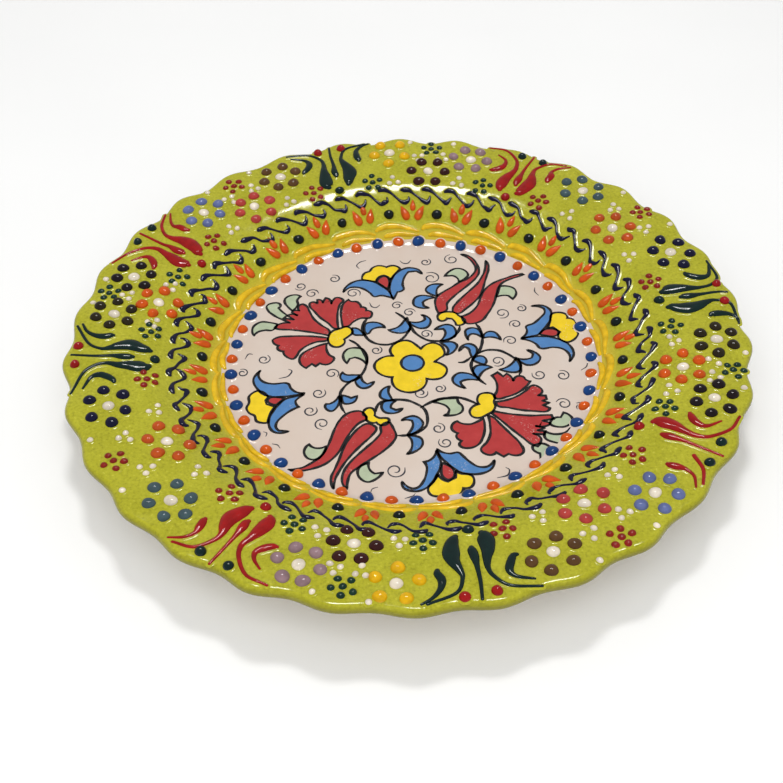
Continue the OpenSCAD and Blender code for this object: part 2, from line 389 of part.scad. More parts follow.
sage_leaves = [
    [[-35.1, 17.1], [-37.6, 18.9], [-39.4, 21], [-39.9, 23.2], [-38.1, 24.3], [-36.5, 24.1], [-36, 23.2],
     [-36.5, 22.1], [-35.2, 20.3], [-33.8, 18.9]],
    [[-32.5, 20.8], [-34, 22.8], [-34.9, 24.6], [-34.7, 26.4], [-33.3, 27.5], [-31.5, 27.7], [-30.4, 27],
     [-31.3, 25.3], [-31, 23.5]],
    [[-36.5, 15.2], [-39, 16], [-41, 16.2], [-43, 14.5], [-43.3, 12.4], [-42.6, 10.4], [-41.7, 12],
     [-39.7, 12.7], [-37.6, 12.7]],
    [[-12, 4.1], [-13.8, 4.8], [-16, 4.5], [-17.2, 3], [-17.4, 1.2], [-16.3, -1.3], [-15.6, 0.5],
     [-14.2, 1], [-12.4, 0.1], [-11, -1.6]],
    [[11.7, 35.1], [13.1, 37.2], [15.3, 38.5], [17.5, 37.6], [18.5, 35.4], [17.6, 33.9], [15.6, 32.3],
     [15.3, 34], [13.9, 35.2]],
    [[27.5, 30], [29.7, 30], [31.5, 28.9], [32, 26.8], [30.8, 24.3], [29.7, 25.7], [27.9, 25.9],
     [26.2, 25.2]],
    [[6.7, -16.6], [8.8, -15.7], [11.3, -15.4], [13.3, -15.4], [13.5, -16.9], [14.4, -18.2], [14.4, -20],
     [13.1, -21.2], [11.3, -21.6],
     [9.4, -21.6], [10.6, -21], [11, -19.6], [10.3, -18.2], [8.5, -17.1]],
    [[38, -23.2], [39.8, -22.9], [40.7, -21.2], [42.1, -22.1], [42.8, -23.9], [41.9, -25.4],
     [40.1, -26.3], [37.6, -25.9], [36.8, -25.2]],
    [[35.5, -27.9], [37.6, -28.8], [40.1, -28.4], [41.8, -26.8], [42.3, -28.6], [41.8, -30.8],
     [40.1, -32.2], [37.6, -31.7], [35.1, -30.1]],
    [[31.7, -32.8], [31.7, -34], [33.3, -35.3], [33.1, -38], [32.2, -40.5], [34.5, -38.5], [36.2, -36.9],
     [36.7, -35.5], [36.2, -33.5], [34.4, -32]],
    [[-25.3, -31], [-26.2, -32.2], [-26.4, -34], [-25.3, -35.8], [-23.4, -36.2], [-21.8, -34.7],
     [-20.9, -31.6], [-22.1, -32.3], [-23.9, -32.2]],
    [[-12.4, -39.2], [-12.7, -40.9], [-12, -42.7], [-10.2, -43.9], [-8.1, -43], [-6.4, -40.9],
     [-8.4, -41.2], [-9.7, -39.8], [-10, -37.7]]
];
// Stems: centre lines of printed lines
stem_w = 0.8;
stems = [
    [[-10.9, 17.1], [-12.1, 14.5], [-12.3, 12.2], [-11.4, 9.6], [-10.2, 7.7], [-8.1, 6.3], [-5.2, 5.9],
     [-2.7, 6.8], [-0.7, 8.7], [0.8, 11.5], [1.4, 13.8]],
    [[-16, 8.2], [-13.8, 6.4], [-12, 3.4], [-10.9, 0.1], [-11.1, -2.7], [-11.8, -4.9], [-13, -6.9],
     [-15.3, -8.5], [-16.9, -10.6],
     [-17.8, -12.8], [-17.6, -15.3], [-17.4, -17.8], [-16.3, -20.2]],
    [[15.1, 13.1], [14.8, 11.3], [13.5, 9.1], [11.7, 7.4], [8.8, 7], [6.3, 7.3], [4.1, 8.8], [2.3, 10.9],
     [1.4, 13.1], [0.2, 15.5],
     [-0.9, 17.4], [-3, 19.4]],
    [[19.6, 14], [20.7, 11.7], [21.2, 8.8], [20.9, 5.5], [20, 2.7], [18.5, 0.1], [17.6, -2.2],
     [17.6, -4.4], [18.2, -6.2], [19.3, -8.1],
     [20, -9.2], [21.2, -10.4]],
    [[19.6, 1.6], [21.1, 2.7], [23.2, 3.1], [25.7, 2.7], [27.9, 1.2], [29.6, -0.6], [30.7, -2.6],
     [30.8, -5.2], [30.2, -7]],
    [[3.4, -18.7], [5.2, -17.3], [7.4, -16], [9.9, -15.2], [13.1, -15], [15.3, -15.7], [17.1, -16.7],
     [18.7, -17.8]],
    [[-8.2, -19.8], [-8.1, -18.2], [-7, -16.4], [-4.8, -15.7], [-2.3, -15.5], [0.2, -15.9], [2.3, -17.1],
     [4, -18.5], [4.9, -20.3],
     [5.2, -22.5], [4.9, -25], [3.4, -26.8], [1.6, -27.9], [-0.5, -28.4], [-2.9, -28.4]],
    [[14, -1.7], [15.5, -1.6], [16.8, -0.6], [17.8, 0.6]]
];
// Fine curls: [x, y, outer radius, angle at the outer end, direction]
curl_w = 0.4;
curl_turns = 1.35;
curl_taper = 0.75;
curls = [
    [-30.7, 31.5, 1.8, 210, 1], [-27.2, 28.2, 2, 0, 1], [-20.9, 34.7, 1.8, 110, -1],
     [-15.2, 28, 2.2, -30, 1], [1, 19.2, 1.8, 10, 1],
    [-2.5, 22.3, 1.7, 20, 1], [6.1, 41.7, 1.7, 60, -1], [7.6, 34.3, 2.7, 120, -1],
     [13.9, 42.8, 2.3, 100, 1], [27.3, 18.2, 2.2, 250, 1],
    [32.9, 20.2, 1.6, 100, -1], [30.8, 13.5, 1.8, 210, -1], [28.9, 6.7, 2, 200, -1],
     [24.8, -1.4, 2.1, 240, 1], [5.6, 10, 1.8, -40, 1],
    [-8.3, 3.7, 1.7, 60, -1], [-39.2, 0.8, 1.9, 60, -1], [-44.6, -4.4, 1.6, 120, -1],
     [-20.3, -5.2, 2, -40, 1], [-23.6, -12.6, 2, 40, -1],
    [-25.6, -19.1, 2, 40, -1], [-22.2, -23.8, 2.1, 270, -1], [-3.3, -40.2, 2.6, 20, -1],
     [7.9, -26.1, 1.9, 90, -1], [9.6, -31.1, 1.9, 140, 1],
    [3.6, -13.2, 2, 20, -1], [8.8, -11.6, 1.6, 60, -1], [35.6, -6.9, 2, 160, 1], [41.9, -7.4, 2, 110, -1],
     [41.1, -18, 2.1, 160, -1],
    [45.2, -19.2, 1.6, 120, -1]
];
// Short stray hooks: centre lines
hooks = [
    [[-11.6, 43], [-13.4, 42.2], [-14.4, 40.6], [-13.6, 39.2]], [[-1.5, 42.6], [-0.6, 41.4], [0.8, 41.3],
     [1.8, 42.8]],
    [[-10.4, 23.8], [-9.7, 22], [-8.4, 21.6], [-7.4, 22.7]], [[-32.2, -3.2], [-31.2, -4], [-32.2, -6],
     [-34.6, -6.8]],
    [[24.3, -39.8], [25.2, -40.6], [24.6, -42.4], [22, -43.2]], [[-34.8, -30.6], [-33.4, -31],
     [-32.6, -32.2]],
    [[-37.4, -26.3], [-36.4, -26.8], [-36.6, -28]], [[38.4, 25.6], [37.4, 27.4], [37.6, 29.2]],
     [[-44.4, 1], [-43.6, 3], [-42.4, 2.9]],
    [[-9.4, -47.6], [-9, -46.2], [-7.6, -45.6]], [[-1, -49.4], [1, -48.6], [1.6, -47.8]], [[47, -5.5],
     [48.6, -4.2], [49.2, -2.4]]
];

// Height of the glazed top surface at radius r, its slope, and the same for a point in plan
function top_z(r) = lookup(r, top_pts);
function top_slope(r) = atan((top_z(r + 0.5) - top_z(r - 0.5)));
function lip_arc(rad, from, to) = [for (a = [from : -30 : to]) lip_c + rad * [cos(a), sin(a)]];
function raise(pts, dz) = [for (p = pts) p + [0, dz]];
function between(pts, lo, hi) = [for (p = pts) if (p[0] > lo && p[0] < hi) p];
function at_r(pts, r, dz) = [r, lookup(r, pts) + dz];
function rev(v) = [for (i = [len(v) - 1 : -1 : 0]) v[i]];

// Section of the bare clay inside its glaze
clay_pts = concat(
    raise(between(top_pts, -1, 89 * s), -glaze_t), lip_arc(lip_r - glaze_t, 90, -90),
    raise(between(under_pts, 50.7 * s, 89 * s), glaze_t), [under_pts[6] + [0, glaze_t], under_pts[6]],
    foot_pts, [foot_pts[4] + [0, glaze_t], [0, recess_z + glaze_t]]
);

// Spools that scoop the notches between the scallops, with flared ends to ease the edges
notch_r = 9 * s;
module notches(grow) {
    for (i = [0 : n_lobes - 1])
        rotate([0, 0, lobe_turn + (i + 0.5) * 360 / n_lobes])
            translate([rim_r - lobe_depth + notch_r, 0, lip_c[1]])
                rotate_extrude()
                    polygon([
                        [0, -5], [notch_r + 3.5 + grow, -5], [notch_r + grow, -0.8],
                        [notch_r + grow, 0.8], [notch_r + 3.5 + grow, 5], [0, 5]
                    ]);
}

module clay_solid() {
    difference() {
        rotate_extrude() polygon(clay_pts);
        notches(glaze_t);
    }
}

// Solid under the decoration, whose top is the glazed surface
module bed() {
    rotate_extrude($fn = fine_fn) polygon(concat(top_pts, [[top_pts[11][0], 3], [0, 3]]));
}

// Puts a child on the glazed surface at radius r and angle a, square to it
module place(r, a) {
    rotate([0, 0, a]) translate([r * s, 0, top_z(r * s)]) rotate([0, -top_slope(r * s), 0]) children();
}

// How much further out the painted rings lie at angle a
function off_centre(a) = ring_shift * cos(a) - ring_oval * cos(2 * a);

// Domed bead of diameter d and height h at radius r and angle a, whose foot follows the glaze
bead_root = 0.4;
module bead(r, a, d, h) {
    ball = (h * h + d * d / 4) / (2 * h);
    difference() {
        place(r, a) intersection() {
            translate([0, 0, h - ball]) sphere(ball);
            translate([0, 0, -bead_root]) cylinder(d = d + 1, h = h + 1);
        }
        rotate([0, 0, a + 180]) bed();
    }
}

module bead_ring(r, turn, d, h) {
    for (i = [0 : n_ring - 1]) let(a = turn + i * 360 / n_ring) bead(r + off_centre(a), a, d, h);
}

// Catmull-Rom points through a stroke's own points
function spline(a, b, c, d, t) =
    b + t / 2 * ((c - a) + t * ((2 * a - 5 * b + 4 * c - d) + t * (3 * (b - c) + d - a)));
function smooth(p, n) = concat(
    [for (i = [0 : len(p) - 2], k = [0 : n - 1])
        spline(p[max(i - 1, 0)], p[i], p[i + 1], p[min(i + 2, len(p) - 1)], k / n)],
    [p[len(p) - 1]]
);
function held(q) = norm(q) > stroke_limit ? q * stroke_limit / norm(q) : q;
function plan(p, a, out) =
    held(s * [(p[1] + out) * cos(a) + p[0] * sin(a), (p[1] + out) * sin(a) - p[0] * cos(a)]);
function unit(v) = v / norm(v);
function stroke_top(hw) = min(stroke_h, 0.15 + 0.6 * hw);
function ring(c, d, hw) = [for (k = [0 : 3]) let(q = c + hw * cos(180 - 60 * k) * [d[1], -d[0]])
    [q[0], q[1], top_z(norm(q)) + stroke_top(hw) * sin(60 * k)]];

tail_w = 0.2; // half width that a stroke never goes below

// One enamel stroke at angle a, moved outward by out: a tapering ridge that follows its points
module stroke(p, a, n, out) {
    w = smooth(p, n);
    last = len(w) - 1;
    c = [for (q = w) plan(q, a, out)];
    rings = [for (i = [0 : last])
        ring(c[i], unit(c[min(i + 1, last)] - c[max(i - 1, 0)]), max(w[i][2], tail_w) * s)];
    polyhedron(
        points = [for (r = rings) for (q = r) q],
        faces = concat(
            [for (i = [0 : last - 1], k = [0 : 3]) [i * 4 + k, (i + 1) * 4 + k, i * 4 + (k + 1) % 4]],
            [for (i = [0 : last - 1], k = [0 : 3])
                [i * 4 + (k + 1) % 4, (i + 1) * 4 + k, (i + 1) * 4 + (k + 1) % 4]],
            [[0, 1, 2], [0, 2, 3]],
            [for (k = [1, 2]) [last * 4, last * 4 + k + 1, last * 4 + k]]
        )
    );
}

module sprays(strokes, first) {
    for (i = [first : 2 : len(tulip_a) - 1], k = [0 : len(strokes) - 1]) {
        from = i == broken_spray && k == broken_stroke ? broken_from : 0;
        stroke([for (j = [from : len(strokes[k]) - 1]) strokes[k][j]], tulip_a[i], 2, tulip_out[i]);
    }
}

module spray_beads(outer, first_outer, tip, first_tip) {
    for (i = [first_outer : 2 : len(tulip_a) - 1], p = outer) spray_bead(p, tulip_a[i]);
    for (i = [first_tip : 2 : len(tulip_a) - 1]) spray_bead(tip + [0, tulip_out[i]], tulip_a[i]);
}

module spray_bead(p, a) {
    bead(norm(p), a - atan2(p[0], p[1]), spray_dot_d, bead_h);
}

// Width of gap g between two sprays, and the angle at share f of it
function gap_w(g) = (tulip_a[(g + 1) % len(tulip_a)] - tulip_a[g] + 360) % 360;
function gap_a(g, f) = tulip_a[g] + f * gap_w(g);
// Angle of the first, middle or last of three things in gap g, the outer two set in from its ends
function three_a(g, k, inset) = gap_a(g, k / 2) + (1 - k) * inset;
function flower_a(g, k) = three_a(g, k, flower_in + flower_in_per_gap * gap_w(g));
function is_yellow(g, k) = k == 2 && g % n_colour_sets == yellow_set;
// Radius of flower k in gap g
function flower_at(g, k) = flower_r[k] + (k == 1 ? middle_out[g] : is_yellow(g, k) ? yellow_out : 0);

// Petals of flower k in every gap of colour set c
module petals(c, k, count = n_petals) {
    for (g = [c : n_colour_sets : len(tulip_a) - 1])
        flower_ring(flower_at(g, k), flower_a(g, k), count, petal_ring, petal_d, petal_h, 180 / n_petals,
            width_least + width_per_gap * gap_w(g));
}

// A ring of beads around a point at radius r and angle a, the first of them turned by first
module flower_ring(r, a, count, ring_r, d, h, first = 0, width = 1) {
    for (j = [0 : count - 1]) {
        t = j * 360 / count + first;
        q = [r + ring_r * cos(t), width * ring_r * sin(t)];
        flower_bead(norm(q), a + atan2(q[1], q[0]), d, h);
    }
}

module flower_bead(r, a, d, h) {
    bead(r + flower_shift * cos(a), a, d, h);
}

module rosettes(first) {
    for (g = [first : 2 : len(tulip_a) - 1], k = [0 : 2]) {
        a = three_a(g, k, rosette_in);
        flower_ring(rosette_r[k], a, n_rosette, rosette_ring, rosette_d, small_h);
        flower_bead(rosette_r[k], a, rosette_d, small_h);
    }
}

// Teardrop with its fat end at radius r and angle a, pointing outward but leaning by lean degrees
module teardrop(r, a, lean, size) {
    w = collar_petal_w * size;
    far = collar_petal_len * size - w;
    difference() {
        place(r, a) rotate([0, 0, lean]) translate([0, 0, -petal_sunk]) rotate([0, 90, 0]) rotate_extrude()
            polygon([[0, -w], [0.5 * w, -0.85 * w], [0.9 * w, -0.4 * w], [w, 0.2 * w], [0.85 * w, 0.4 * far],
                [0.45 * w, 0.75 * far], [0.15 * w, far], [0, far]]);
        rotate([0, 0, a + 180]) bed();
    }
}

module ring_strokes(p, turn, count, n) {
    for (i = [0 : count - 1]) let(a = turn + i * 360 / count) stroke(p, a, n, off_centre(a));
}

// One printed layer: flat shapes raised by the thickness of the print
module film() {
    translate([0, 0, top_z(0)]) linear_extrude(film_t) scale(s) children();
}

module shapes(list) {
    for (p = list) polygon(p);
}

// A line of width w along the points p
module line(p, w) {
    last = len(p) - 1;
    side = [for (i = [0 : last])
        let(d = unit(p[min(i + 1, last)] - p[max(i - 1, 0)])) w / 2 * [-d[1], d[0]]];
    polygon(concat(p + side, rev(p - side)));
}

module curl(c) {
    steps = 9;
    line([for (i = [0 : steps])
        let(a = c[3] + c[4] * curl_turns * 360 * i / steps, r = c[2] * (1 - curl_taper * i / steps))
        [c[0] + r * cos(a), c[1] + r * sin(a)]], curl_w);
}

module clay_body() color("peru") clay_solid();

// Everything over the white glaze
module well_edge() {
    translate([ring_shift * s, 0, 0]) cylinder(r = well_r, h = lip_c[1], $fn = fine_fn);
}

edge_reach = 3 * s; // how far each glaze's blank runs past the edge between them
module well_glaze() color("ivory")
    intersection() {
        rotate_extrude() polygon(concat(
            between(top_pts, -1, well_r + edge_reach),
            [at_r(top_pts, well_r + edge_reach, 0), at_r(top_pts, well_r + edge_reach, -glaze_t)],
            rev(raise(between(top_pts, -1, well_r + edge_reach), -glaze_t))));
        well_edge();
    }

module rim_glaze() color("yellowgreen")
    difference() {
        rotate_extrude() polygon(concat(
            [at_r(top_pts, well_r - edge_reach, 0)], between(top_pts, well_r - edge_reach, rim_r),
            lip_arc(lip_r, 60, -60), [under_pts[0], under_pts[1]],
            rev(raise(between(top_pts, well_r - edge_reach, under_edge), -s)),
            [at_r(top_pts, well_r - edge_reach, -s)]));
        notches(0);
        clay_solid();
        well_edge();
    }

module back_glaze() color("honeydew") {
    rotate_extrude() polygon(concat(
        between(under_pts, 50 * s, under_edge + 0.01),
        rev(raise(between(under_pts, 50 * s, under_edge + 0.01), glaze_t))));
    translate([0, 0, recess_z]) cylinder(r = foot_pts[4][0], h = glaze_t);
}

module print_red() color("firebrick") film() {
    shapes(carnation_petals);
    shapes(print_tulips);
    shapes(drops);
}

module print_yellow() color("gold") film() {
    difference() {
        polygon(daisy);
        translate(daisy_eye) circle(daisy_eye_r);
    }
    shapes(crowns);
    shapes(calyces);
}

module print_blue() color("steelblue") film() {
    translate(daisy_eye) circle(daisy_eye_r);
    shapes(blossom_leaves);
    shapes(vine_leaves);
}

module print_sage() color("darkseagreen") film() shapes(sage_leaves);

module print_stems() color("black") film() for (p = stems) line(p, stem_w);

module print_curls() color("dimgray") film() {
    for (c = curls) curl(c);
    for (p = hooks) line(p, curl_w);
}

module well_beads_blue() color("steelblue") bead_ring(well_bead_r, blue_turn, blue_d, bead_h);
module well_beads_orange() color("darkorange") bead_ring(well_bead_r, orange_turn, orange_d, bead_h);
module collar_beads_green() color("darkslategray") bead_ring(collar_bead_r, collar_turn, collar_d, bead_h);
module collar_petals_orange() color("orange")
    for (i = [0 : n_ring - 1], p = collar_petal_at)
        let(a = collar_petal_turn + i * 360 / n_ring + p[1]) teardrop(p[0] + off_centre(a), a, p[2], p[3]);
module collar_arcs_outer() color("gold") ring_strokes(outer_arc, collar_turn, n_ring, 1);
module collar_arcs_inner() color("khaki") ring_strokes(inner_arc, collar_turn, n_ring, 1);
module wave_border() color("midnightblue") ring_strokes(wave_stroke, wave_turn, n_waves, 1);

module tulips_red() color("crimson") sprays(red_spray, 1);
module tulips_green() color("darkgreen") sprays(green_spray, 0);
module tulip_dots_red() color("red") spray_beads(green_spray_dots, 0, red_spray_tip, 1);
module tulip_dots_green() color("seagreen") spray_beads(red_spray_dots, 1, green_spray_tip, 0);

module petals_navy() color("navy") petals(0, 0);
module petals_rust() color("chocolate") petals(0, 1);
module petals_slate() color("slategray") petals(0, 2);
module petals_mauve() color("rosybrown") petals(1, 0);
module petals_maroon() color("maroon") petals(1, 1);
module petals_yellow() color("goldenrod") petals(1, 2, n_petals - 1);
module petals_olive() color("saddlebrown") petals(2, 0);
module petals_coral() color("tomato") petals(2, 1);
module petals_periwinkle() color("mediumpurple") petals(2, 2);
module petals_aubergine() color("indigo") petals(3, 0);
module petals_orange() color("orangered") petals(3, 1);
module petals_umber() color("darkolivegreen") petals(3, 2);

module flower_centres() color("white")
    for (g = [0 : len(tulip_a) - 1], k = [0 : 2])
        flower_bead(flower_at(g, k), flower_a(g, k), centre_d, centre_h);

module rosettes_red() color("brown") rosettes(0);
module rosettes_green() color("teal") rosettes(1);

module tiny_three(r, a, first = 0) {
    flower_ring(r, a, 3, tiny_pitch, tiny_d, small_h, first);
}

module tiny_dots() color("snow")
    for (g = [0 : len(tulip_a) - 1]) {
        middle = gap_a(g, 0.5);
        apart = tiny_middle_per_gap * gap_w(g) - tiny_middle_less;
        turns = gap_w(g) > wide_gap + wide_per_out * middle_out[g] ? [-apart, apart] : [0];
        for (p = tiny_at) tiny_three(p[1], gap_a(g, p[0]));
        r = tiny_middle_r + tiny_middle_per_out * middle_out[g];
        for (turn = turns) tiny_three(r, middle + turn, turn > 0 ? tiny_turn : 0);
        for (way = [-1, 1])
            flower_bead(tiny_single_r, middle + way * (tiny_single_per_gap * gap_w(g) - tiny_single_less),
                tiny_d, small_h);
    }

clay_body();
well_glaze();
rim_glaze();
back_glaze();
print_red();
print_yellow();
print_blue();
print_sage();
print_stems();
print_curls();
well_beads_blue();
well_beads_orange();
collar_beads_green();
collar_petals_orange();
collar_arcs_outer();
collar_arcs_inner();
wave_border();
tulips_red();
tulips_green();
tulip_dots_red();
tulip_dots_green();
petals_navy();
petals_rust();
petals_slate();
petals_mauve();
petals_maroon();
petals_yellow();
petals_olive();
petals_coral();
petals_periwinkle();
petals_aubergine();
petals_orange();
petals_umber();
flower_centres();
rosettes_red();
rosettes_green();
tiny_dots();
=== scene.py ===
import math
import random

import bmesh
import bpy
import numpy as np
from mathutils import Matrix, Vector


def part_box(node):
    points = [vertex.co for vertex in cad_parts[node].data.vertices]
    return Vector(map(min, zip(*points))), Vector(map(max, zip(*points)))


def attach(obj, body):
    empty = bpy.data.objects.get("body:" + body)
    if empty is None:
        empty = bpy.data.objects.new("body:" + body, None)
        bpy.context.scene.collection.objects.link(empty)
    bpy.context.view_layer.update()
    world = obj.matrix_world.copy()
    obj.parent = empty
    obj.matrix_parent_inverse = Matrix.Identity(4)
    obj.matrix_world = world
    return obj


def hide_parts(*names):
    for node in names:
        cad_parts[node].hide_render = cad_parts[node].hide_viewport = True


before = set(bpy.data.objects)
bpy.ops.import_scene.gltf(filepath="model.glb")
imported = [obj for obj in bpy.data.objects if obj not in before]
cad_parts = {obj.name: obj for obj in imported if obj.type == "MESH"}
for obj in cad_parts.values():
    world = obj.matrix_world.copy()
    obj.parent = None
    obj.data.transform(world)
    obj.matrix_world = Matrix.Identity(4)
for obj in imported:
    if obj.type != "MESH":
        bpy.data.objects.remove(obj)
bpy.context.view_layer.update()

# Sizes are in the plate's own millimetres and angles in degrees, as in the CAD.
# UNIT turns them into metres for a plate whose rim radius is that of the rim glaze in model.glb.
RIM_R = 91
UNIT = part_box("rim_glaze")[1][1] / RIM_R
SEED = 11

# Glazed surfaces, (radius, height)
TOP = [
    (0, 6.5), (49.5, 6.5), (50.5, 6.75), (51.5, 7.2), (64.8, 14.2), (66.2, 14.85),
    (67.6, 15.4), (69.3, 15.9), (72, 16.35), (76.5, 16.9), (81, 17.3), (89.5, 17.75),
]
UNDER = [(50.6, 2.6), (56.5, 5.9), (66, 10.9), (70.5, 12.7), (78, 13.9), (84, 14.45), (89.5, 14.75)]
FOOT = [(50.1, 0.9), (49.9, 0.3), (49.4, 0), (46, 0), (45.5, 0.25), (45.3, 0.8)]
RECESS_R = 45
RECESS_Z = 2
LIP_C = (89.5, 16.25)
LIP_R = 1.5
GLAZE_T = 0.3
WELL_R = 51.7
UNDER_EDGE = 84
N_LOBES = 30
LOBE_TURN = 6.8
LOBE_DEPTH = 2
RUFFLE_FROM = 77
RUFFLE_H = 0.35

# Enamel, as in the CAD
RING_SHIFT = 1.2
RING_OVAL = 1
FLOWER_SHIFT = 0.8
N_RING = 25
BLUE_D = 3.6
ORANGE_D = 3.2
COLLAR_D = 3.2
BEAD_H = 1.5
WELL_BEAD_R = 49.9
BLUE_TURN = 13.2
ORANGE_TURN = 20.4
COLLAR_BEAD_R = 58.1
COLLAR_TURN = 8.3
COLLAR_PETAL_TURN = 15.5
# Drops of a three on the collar: radius, turn, lean, size
COLLAR_PETAL_AT = [(57.6, 1.75, 22, 1), (57.6, -1.75, -22, 1), (60, 0, 0, 0.78)]
COLLAR_PETAL_LEN = 4.5
COLLAR_PETAL_W = 1.25
N_WAVES = 61
WAVE_TURN = 2
STROKE_H = 1
STROKE_LIMIT = 88.6
TULIP_A = [-174.5, -120, -80, -32, 8, 62.5, 105.5, 151]
TULIP_OUT = [-0.2, 0.7, 0.9, 0.2, 3.2, 1, 1.6, -0.2]
FLOWER_R = [81, 71.3, 81]
MIDDLE_OUT = [-0.4, 0.7, 0.8, 0.6, 2.6, 2.4, 1.8, -0.8]
YELLOW_OUT = 1.8
YELLOW_SET = 1
FLOWER_IN = 7.4
FLOWER_IN_PER_GAP = 0.12
ROSETTE_IN = 7.6
ROSETTE_R = [70, 84.9, 70]
# Threes of tiny dots near the collar: share of the gap, radius
TINY_AT = [(0.32, 70), (0.7, 70)]
TINY_MIDDLE_R = 79.8
TINY_MIDDLE_PER_OUT = 0.3
TINY_MIDDLE_PER_GAP = 0.16
TINY_MIDDLE_LESS = 4.2
WIDE_GAP = 37.5
WIDE_PER_OUT = 2
TINY_SINGLE_R = 87.7
TINY_SINGLE_PER_GAP = 0.15
TINY_SINGLE_LESS = 1.8
TINY_PITCH = 1.6
TINY_TURN = 60
N_PETALS = 6
N_ROSETTE = 5
PETAL_D = 3.4
PETAL_H = 1.4
PETAL_RING = 4.8
WIDTH_LEAST = 0.55
WIDTH_PER_GAP = 0.0125
CENTRE_D = 3.2
CENTRE_H = 1.1
ROSETTE_D = 2
ROSETTE_RING = 2.5
SMALL_H = 0.8
TINY_D = 1.7
SPRAY_DOT_D = 2.8
# Strokes of a spray, (sideways, outward, half width)
GREEN_SPRAY = [
    [(-4.3, 68.9, 0.9), (-4.45, 69.5, 1.6), (-4.7, 71.2, 2.15), (-4.3, 74, 1.7), (-3.8, 76.6, 1.15),
     (-3.3, 79.4, 0.7), (-3.9, 82.3, 0.58), (-7, 85.4, 0.52), (-14, 87.9, 0.42)],
    [(1.6, 68.7, 0.8), (1.9, 69.4, 1.3), (2.7, 71.2, 1.8), (3.6, 73.7, 2.2), (3.4, 76.3, 1.7),
     (2.5, 78.9, 1), (2.4, 81.3, 0.6), (4.6, 84.6, 0.52), (11.5, 88, 0.45)],
    [(-1, 72.9, 0.7), (-1, 73.7, 1.05), (-0.9, 75.6, 1.1), (-0.7, 78.4, 0.65), (-0.4, 83, 0.5),
     (0.2, 88.5, 0.42)],
    [(-10.4, 76.9, 0.6), (-9.8, 77.3, 0.9), (-8.5, 78.8, 1.1), (-7.6, 81, 1.05), (-8.6, 83, 0.65),
     (-12.5, 84.6, 0.4)],
    [(7.6, 78.2, 0.7), (7.5, 78.9, 1.05), (7.3, 80.8, 1.15), (8, 83.2, 0.8), (10, 85.3, 0.55),
     (12.6, 86.8, 0.4)],
]
RED_SPRAY = [
    [(-3.4, 69.5, 0.85), (-3.5, 70.1, 1.5), (-3.8, 72, 2.05), (-3.7, 74.6, 1.75), (-3, 77.6, 1.1),
     (-2.8, 80.4, 0.8), (-4.2, 83.6, 0.6), (-8.6, 86.8, 0.52), (-14.5, 88, 0.42)],
    [(2, 69.5, 0.85), (2.3, 70.1, 1.4), (3.2, 71.8, 1.9), (4, 74.3, 2.15), (3.8, 76.8, 1.65),
     (3, 79.6, 0.9), (3.2, 82.4, 0.6), (6.2, 86, 0.52), (11, 88, 0.42)],
    [(0, 73.1, 0.7), (0, 73.8, 1.1), (-0.1, 75.6, 1.25), (-0.1, 78, 0.75), (-0.1, 81, 0.55),
     (0.2, 88.5, 0.42)],
    [(-9.8, 76.3, 0.6), (-9.1, 76.9, 1), (-7.6, 78.3, 1.15), (-6.9, 80.4, 0.85), (-7.8, 82.2, 0.55),
     (-10.5, 83.8, 0.35)],
    [(8.7, 78.1, 0.7), (8.6, 78.8, 1.05), (8.5, 80.6, 1.15), (8.1, 82.6, 0.65), (9.6, 84.8, 0.5),
     (12.6, 86.8, 0.35)],
]
BROKEN_SPRAY = 3
BROKEN_STROKE = 1
BROKEN_FROM = 6
GREEN_SPRAY_DOTS = [(-3.8, 87.2), (3.6, 87)]
RED_SPRAY_DOTS = [(-3.5, 87), (3.7, 87)]
GREEN_SPRAY_TIP = (-1.6, 67.2)
RED_SPRAY_TIP = (-0.6, 67)
OUTER_ARC = [
    (-3.9, 53.8, 0.5), (-3, 54.4, 0.85), (-0.4, 54.9, 0.95), (3, 54.6, 0.8), (6.2, 53.7, 0.6),
    (8.8, 52.7, 0.4),
]
INNER_ARC = [(-1.4, 52, 0.5), (-0.2, 52.4, 0.75), (2.6, 52.5, 0.75), (5.6, 52, 0.6), (8.4, 51.5, 0.4)]
WAVE_STROKE = [
    (-0.3, 65.4, 0.55), (0.5, 65.7, 0.85), (1.8, 65.5, 0.72), (3.2, 64.5, 0.45), (4.9, 62.8, 0.42),
    (6.3, 61.7, 0.62), (7.3, 61.5, 0.78), (8.2, 62.2, 0.5), (8.6, 63, 0.28),
]

